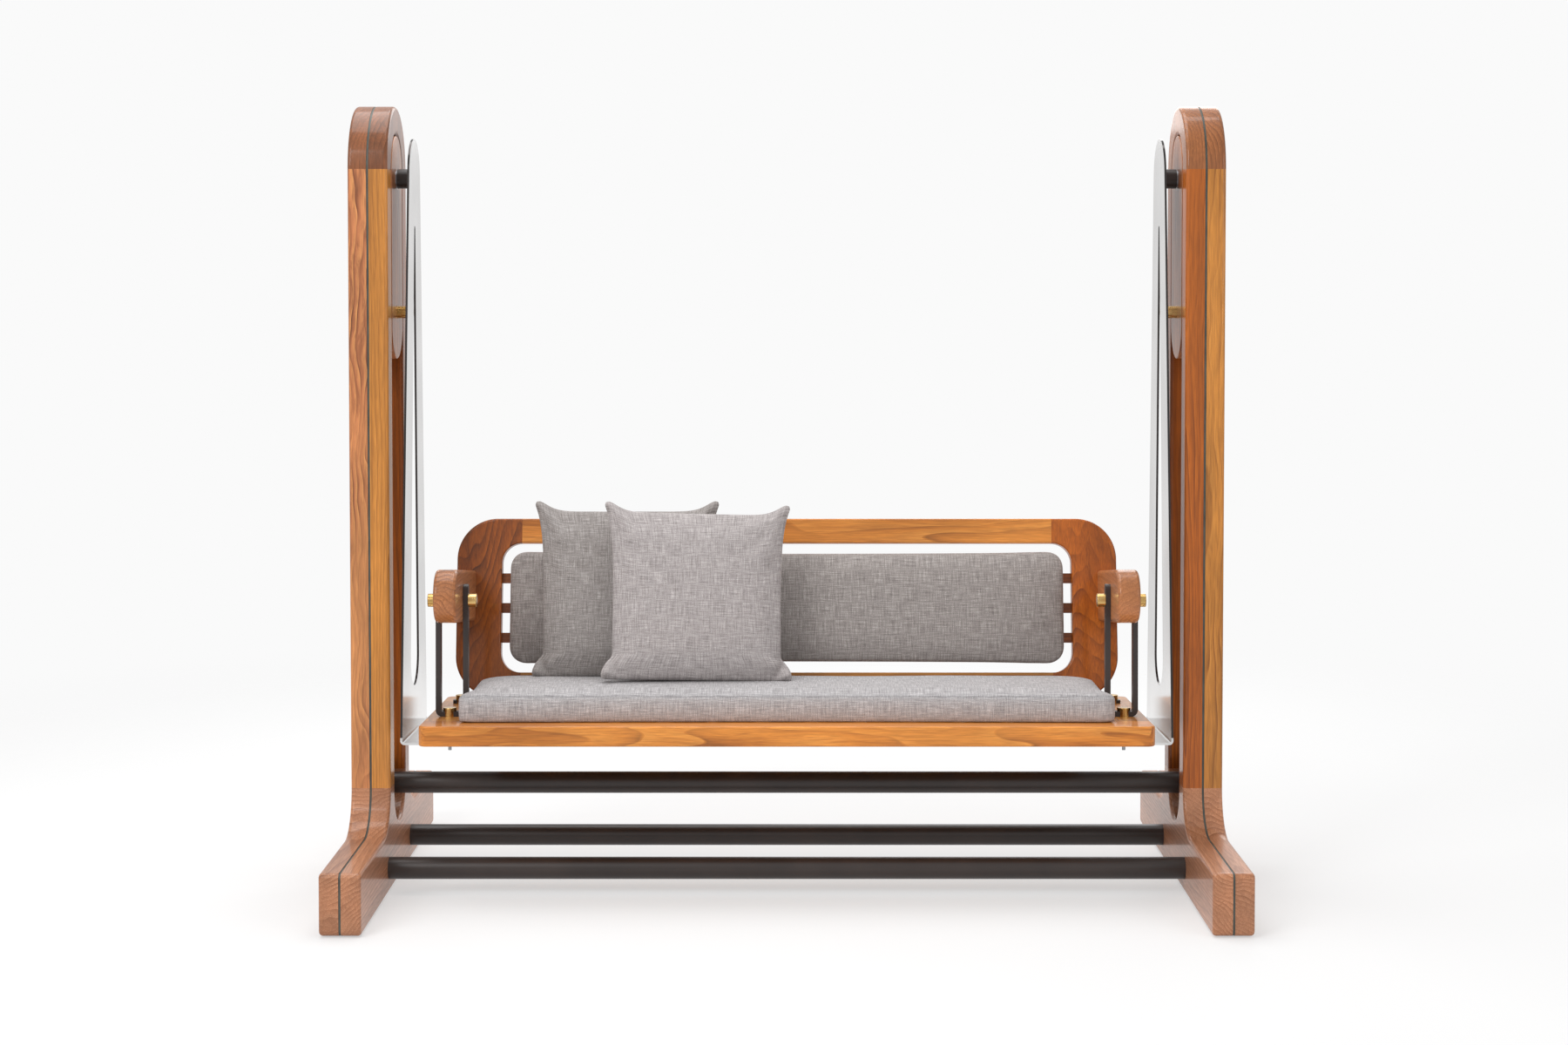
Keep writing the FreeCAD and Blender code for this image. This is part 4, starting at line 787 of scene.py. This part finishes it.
def makePillow(name, place):
    # two square sheets joined at a knife edge: half thickness = ((1 - a^2)(1 - b^2))^0.42, a
    # little more towards the foot, with small folds that fan out round each corner: a sine of
    # the angle times exp(-((distance - foldAway) / foldReach)^2)
    look = pillowLook
    count = int(2 * look["halfWide"] / look["cell"]) + 1
    line = crowdedLine(count, look["crowding"])
    a, b = np.meshgrid(line, line)
    x = a * look["halfWide"]
    z = b * look["halfHigh"]
    body = np.maximum((1 - a ** 2) * (1 - b ** 2), 0.0) ** 0.42
    lower = 1 + look["sag"] * np.clip(-b, 0, 1) * (1 - a ** 2)       # stuffing sinks to the foot
    rng = np.random.default_rng(place["seed"])
    folds = np.zeros_like(a)
    for cornerA, cornerB in ((-1, -1), (1, -1), (-1, 1), (1, 1)):
        away = np.hypot(a - cornerA, b - cornerB)
        angle = np.arctan2(np.abs(b - cornerB), np.abs(a - cornerA) + 1e-6)
        waves = rng.integers(3, 5)
        phase = rng.uniform(0, 6)
        band = np.exp(-((away - look["foldAway"]) / look["foldReach"]) ** 2)
        folds += np.sin(2 * waves * angle + phase) * band
    rim = (1 - a ** 8) * (1 - b ** 8)
    thick = look["halfThick"] * body * lower + look["fold"] * folds * rim * (body > 0.02)
    thick = np.maximum(thick, 0.0)
    flat = np.column_stack((x.ravel(), z.ravel()))
    sheets = [
        (np.column_stack((x.ravel(), -thick.ravel(), z.ravel())), flat, count, count, False),
        (np.column_stack((x.ravel(), thick.ravel(), z.ravel())), flat + 1.0, count, count, True),
    ]
    piece = meshFromSheets(name, sheets)
    before = meshPoints(piece.data)
    inflate(piece, look["pressure"], look["cap"], look["stiffness"])
    points = pillowShape(before, meshPoints(piece.data), look)
    points = turnedAboutX(turnedAboutZ(points, place["turn"]), place["tilt"])
    points = points + np.array((place["x"], place["y"], place["z"]))
    setMeshPoints(piece.data, leanedPoints(reclinedPoints(points)))
    smoothSubdivided(piece)
    piece.data.materials.append(weaves[place["weave"]])
    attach(piece, "swing")
    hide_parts(place["node"])


makeSeatCushion()
makeBackCushion()
for pillowName, pillowPlace in pillowPlaces.items():
    makePillow(pillowName, pillowPlace)
print("stage: soft pieces made")

# Floor, light and camera

stageLook = {"radius": 9.0, "rings": 24, "spokes": 64, "drop": 0.0002, "fadeFrom": 2.2,
             "fadeTo": 4.2, "floor": "#EFEFEF", "back": "#FAFAFA", "plain": 0.50,
             "ambient": 0.58, "mirrored": 0.84}


def makeFloor():
    # a flat disc: rings of points at rising radii; it fades into the pale background far out
    look = stageLook
    rings, spokes = look["rings"], look["spokes"]
    radius, angle = np.meshgrid(np.linspace(0.001, 1, rings) * look["radius"],
                                np.linspace(0, 2 * math.pi, spokes), indexing="ij")
    points = np.column_stack(((radius * np.cos(angle)).ravel(), (radius * np.sin(angle)).ravel(),
                              np.full(radius.size, -look["drop"])))
    mesh = bpy.data.meshes.new("studioFloor")
    mesh.from_pydata(points.tolist(), [], gridFaces(rings, spokes).tolist())
    floor = bpy.data.objects.new("studioFloor", mesh)
    bpy.context.scene.collection.objects.link(floor)
    material = bpy.data.materials.new("pale_studio_floor")
    material.use_nodes = True
    tree = material.node_tree
    tree.nodes.clear()
    place = addNode(tree, "ShaderNodeTexCoord").outputs["Object"]
    far = addNode(tree, "ShaderNodeVectorMath", links={0: place}, operation="LENGTH")
    fade = addNode(tree, "ShaderNodeMapRange", links={"Value": far.outputs["Value"]},
                   values={"From Min": look["fadeFrom"], "From Max": look["fadeTo"]},
                   interpolation_type="SMOOTHSTEP").outputs["Result"]
    rays = addNode(tree, "ShaderNodeLightPath")
    seen = addNode(tree, "ShaderNodeMath", links={
        0: rays.outputs["Is Camera Ray"], 1: rays.outputs["Is Glossy Ray"]}, operation="MAXIMUM")
    plain = addNode(tree, "ShaderNodeMath", links={0: seen.outputs["Value"]},
                    values={1: look["plain"]}, operation="MULTIPLY")
    matt = addNode(tree, "ShaderNodeBsdfDiffuse", values={"Color": linearColour(look["floor"])})
    glow = addNode(tree, "ShaderNodeEmission", values={"Color": linearColour(look["back"])})
    shaded = addNode(tree, "ShaderNodeMixShader", links={
        "Fac": plain.outputs["Value"], 1: matt.outputs["BSDF"], 2: glow.outputs["Emission"]})
    clear = addNode(tree, "ShaderNodeBsdfTransparent")
    final = addNode(tree, "ShaderNodeMixShader", links={
        "Fac": fade, 1: shaded.outputs["Shader"], 2: clear.outputs["BSDF"]})
    addNode(tree, "ShaderNodeOutputMaterial", links={"Surface": final.outputs["Shader"]})
    mesh.materials.append(material)


def makeWorld():
    # the room is pale where it is seen, a little dimmer where it is mirrored, and dimmer still
    # where it only lights
    look = stageLook
    world = bpy.data.worlds.new("paleRoom")
    bpy.context.scene.world = world
    world.use_nodes = True
    tree = world.node_tree
    tree.nodes.clear()
    rays = addNode(tree, "ShaderNodeLightPath")
    mirrored = addNode(tree, "ShaderNodeMapRange", links={"Value": rays.outputs["Is Glossy Ray"]},
                       values={"To Min": look["ambient"], "To Max": look["mirrored"]})
    strength = addNode(tree, "ShaderNodeMath", links={
        0: mirrored.outputs["Result"], 1: rays.outputs["Is Camera Ray"]}, operation="MAXIMUM")
    back = addNode(tree, "ShaderNodeBackground", links={"Strength": strength.outputs["Value"]},
                   values={"Color": linearColour(look["back"])})
    addNode(tree, "ShaderNodeOutputWorld", links={"Surface": back.outputs["Background"]})


# soft boxes: place, what they face, size in metres and power in watts
softBoxes = {
    "keyBox": {"place": (-3.2, -4.2, 3.6), "face": (0.0, 0.0, 0.7), "size": 2.6, "power": 130.0},
    "fillBox": {"place": (3.8, -4.4, 2.4), "face": (0.0, 0.0, 0.7), "size": 2.6, "power": 45.0},
    "topBox": {"place": (-0.6, 0.4, 4.6), "face": (0.0, 0.0, 0.0), "size": 3.4, "power": 125.0},
    "rearBox": {"place": (1.2, 4.4, 3.2), "face": (0.0, 0.0, 0.9), "size": 2.6, "power": 60.0},
}


def aim(thing, place, target):
    # turns local -Z from place to target, with local Y up
    back = np.array(place, dtype=float) - np.array(target, dtype=float)
    flatLength = math.hypot(back[0], back[1])
    thing.location = place
    thing.rotation_euler = (math.atan2(flatLength, back[2]), 0.0, math.atan2(back[0], -back[1]))


def makeLights():
    # one square area lamp for each soft box
    for name, look in softBoxes.items():
        lamp = bpy.data.lights.new(name, "AREA")
        lamp.shape = "SQUARE"
        lamp.size = look["size"]
        lamp.energy = look["power"]
        lightObject = bpy.data.objects.new(name, lamp)
        bpy.context.scene.collection.objects.link(lightObject)
        aim(lightObject, look["place"], look["face"])


cameraLook = {"place": (0.0, -6.218, 1.460), "pitch": 2.229, "lens": 60.28, "sensor": 36.0,
              "shiftX": -0.0018, "shiftY": -0.10}


def makeCamera():
    # full-frame camera at eye level, tipped down by its pitch
    look = cameraLook
    lens = bpy.data.cameras.new("frontCamera")
    lens.sensor_width = look["sensor"]
    lens.sensor_fit = "HORIZONTAL"
    lens.lens = look["lens"]
    lens.shift_x = look["shiftX"]
    lens.shift_y = look["shiftY"]
    camera = bpy.data.objects.new("frontCamera", lens)
    camera.location = look["place"]
    camera.rotation_euler = (math.radians(90.0 - look["pitch"]), 0.0, 0.0)
    bpy.context.scene.collection.objects.link(camera)
    bpy.context.scene.camera = camera


makeFloor()
makeWorld()
makeLights()
makeCamera()
bpy.context.scene.view_settings.view_transform = "Standard"
print("stage: floor, light and camera set")
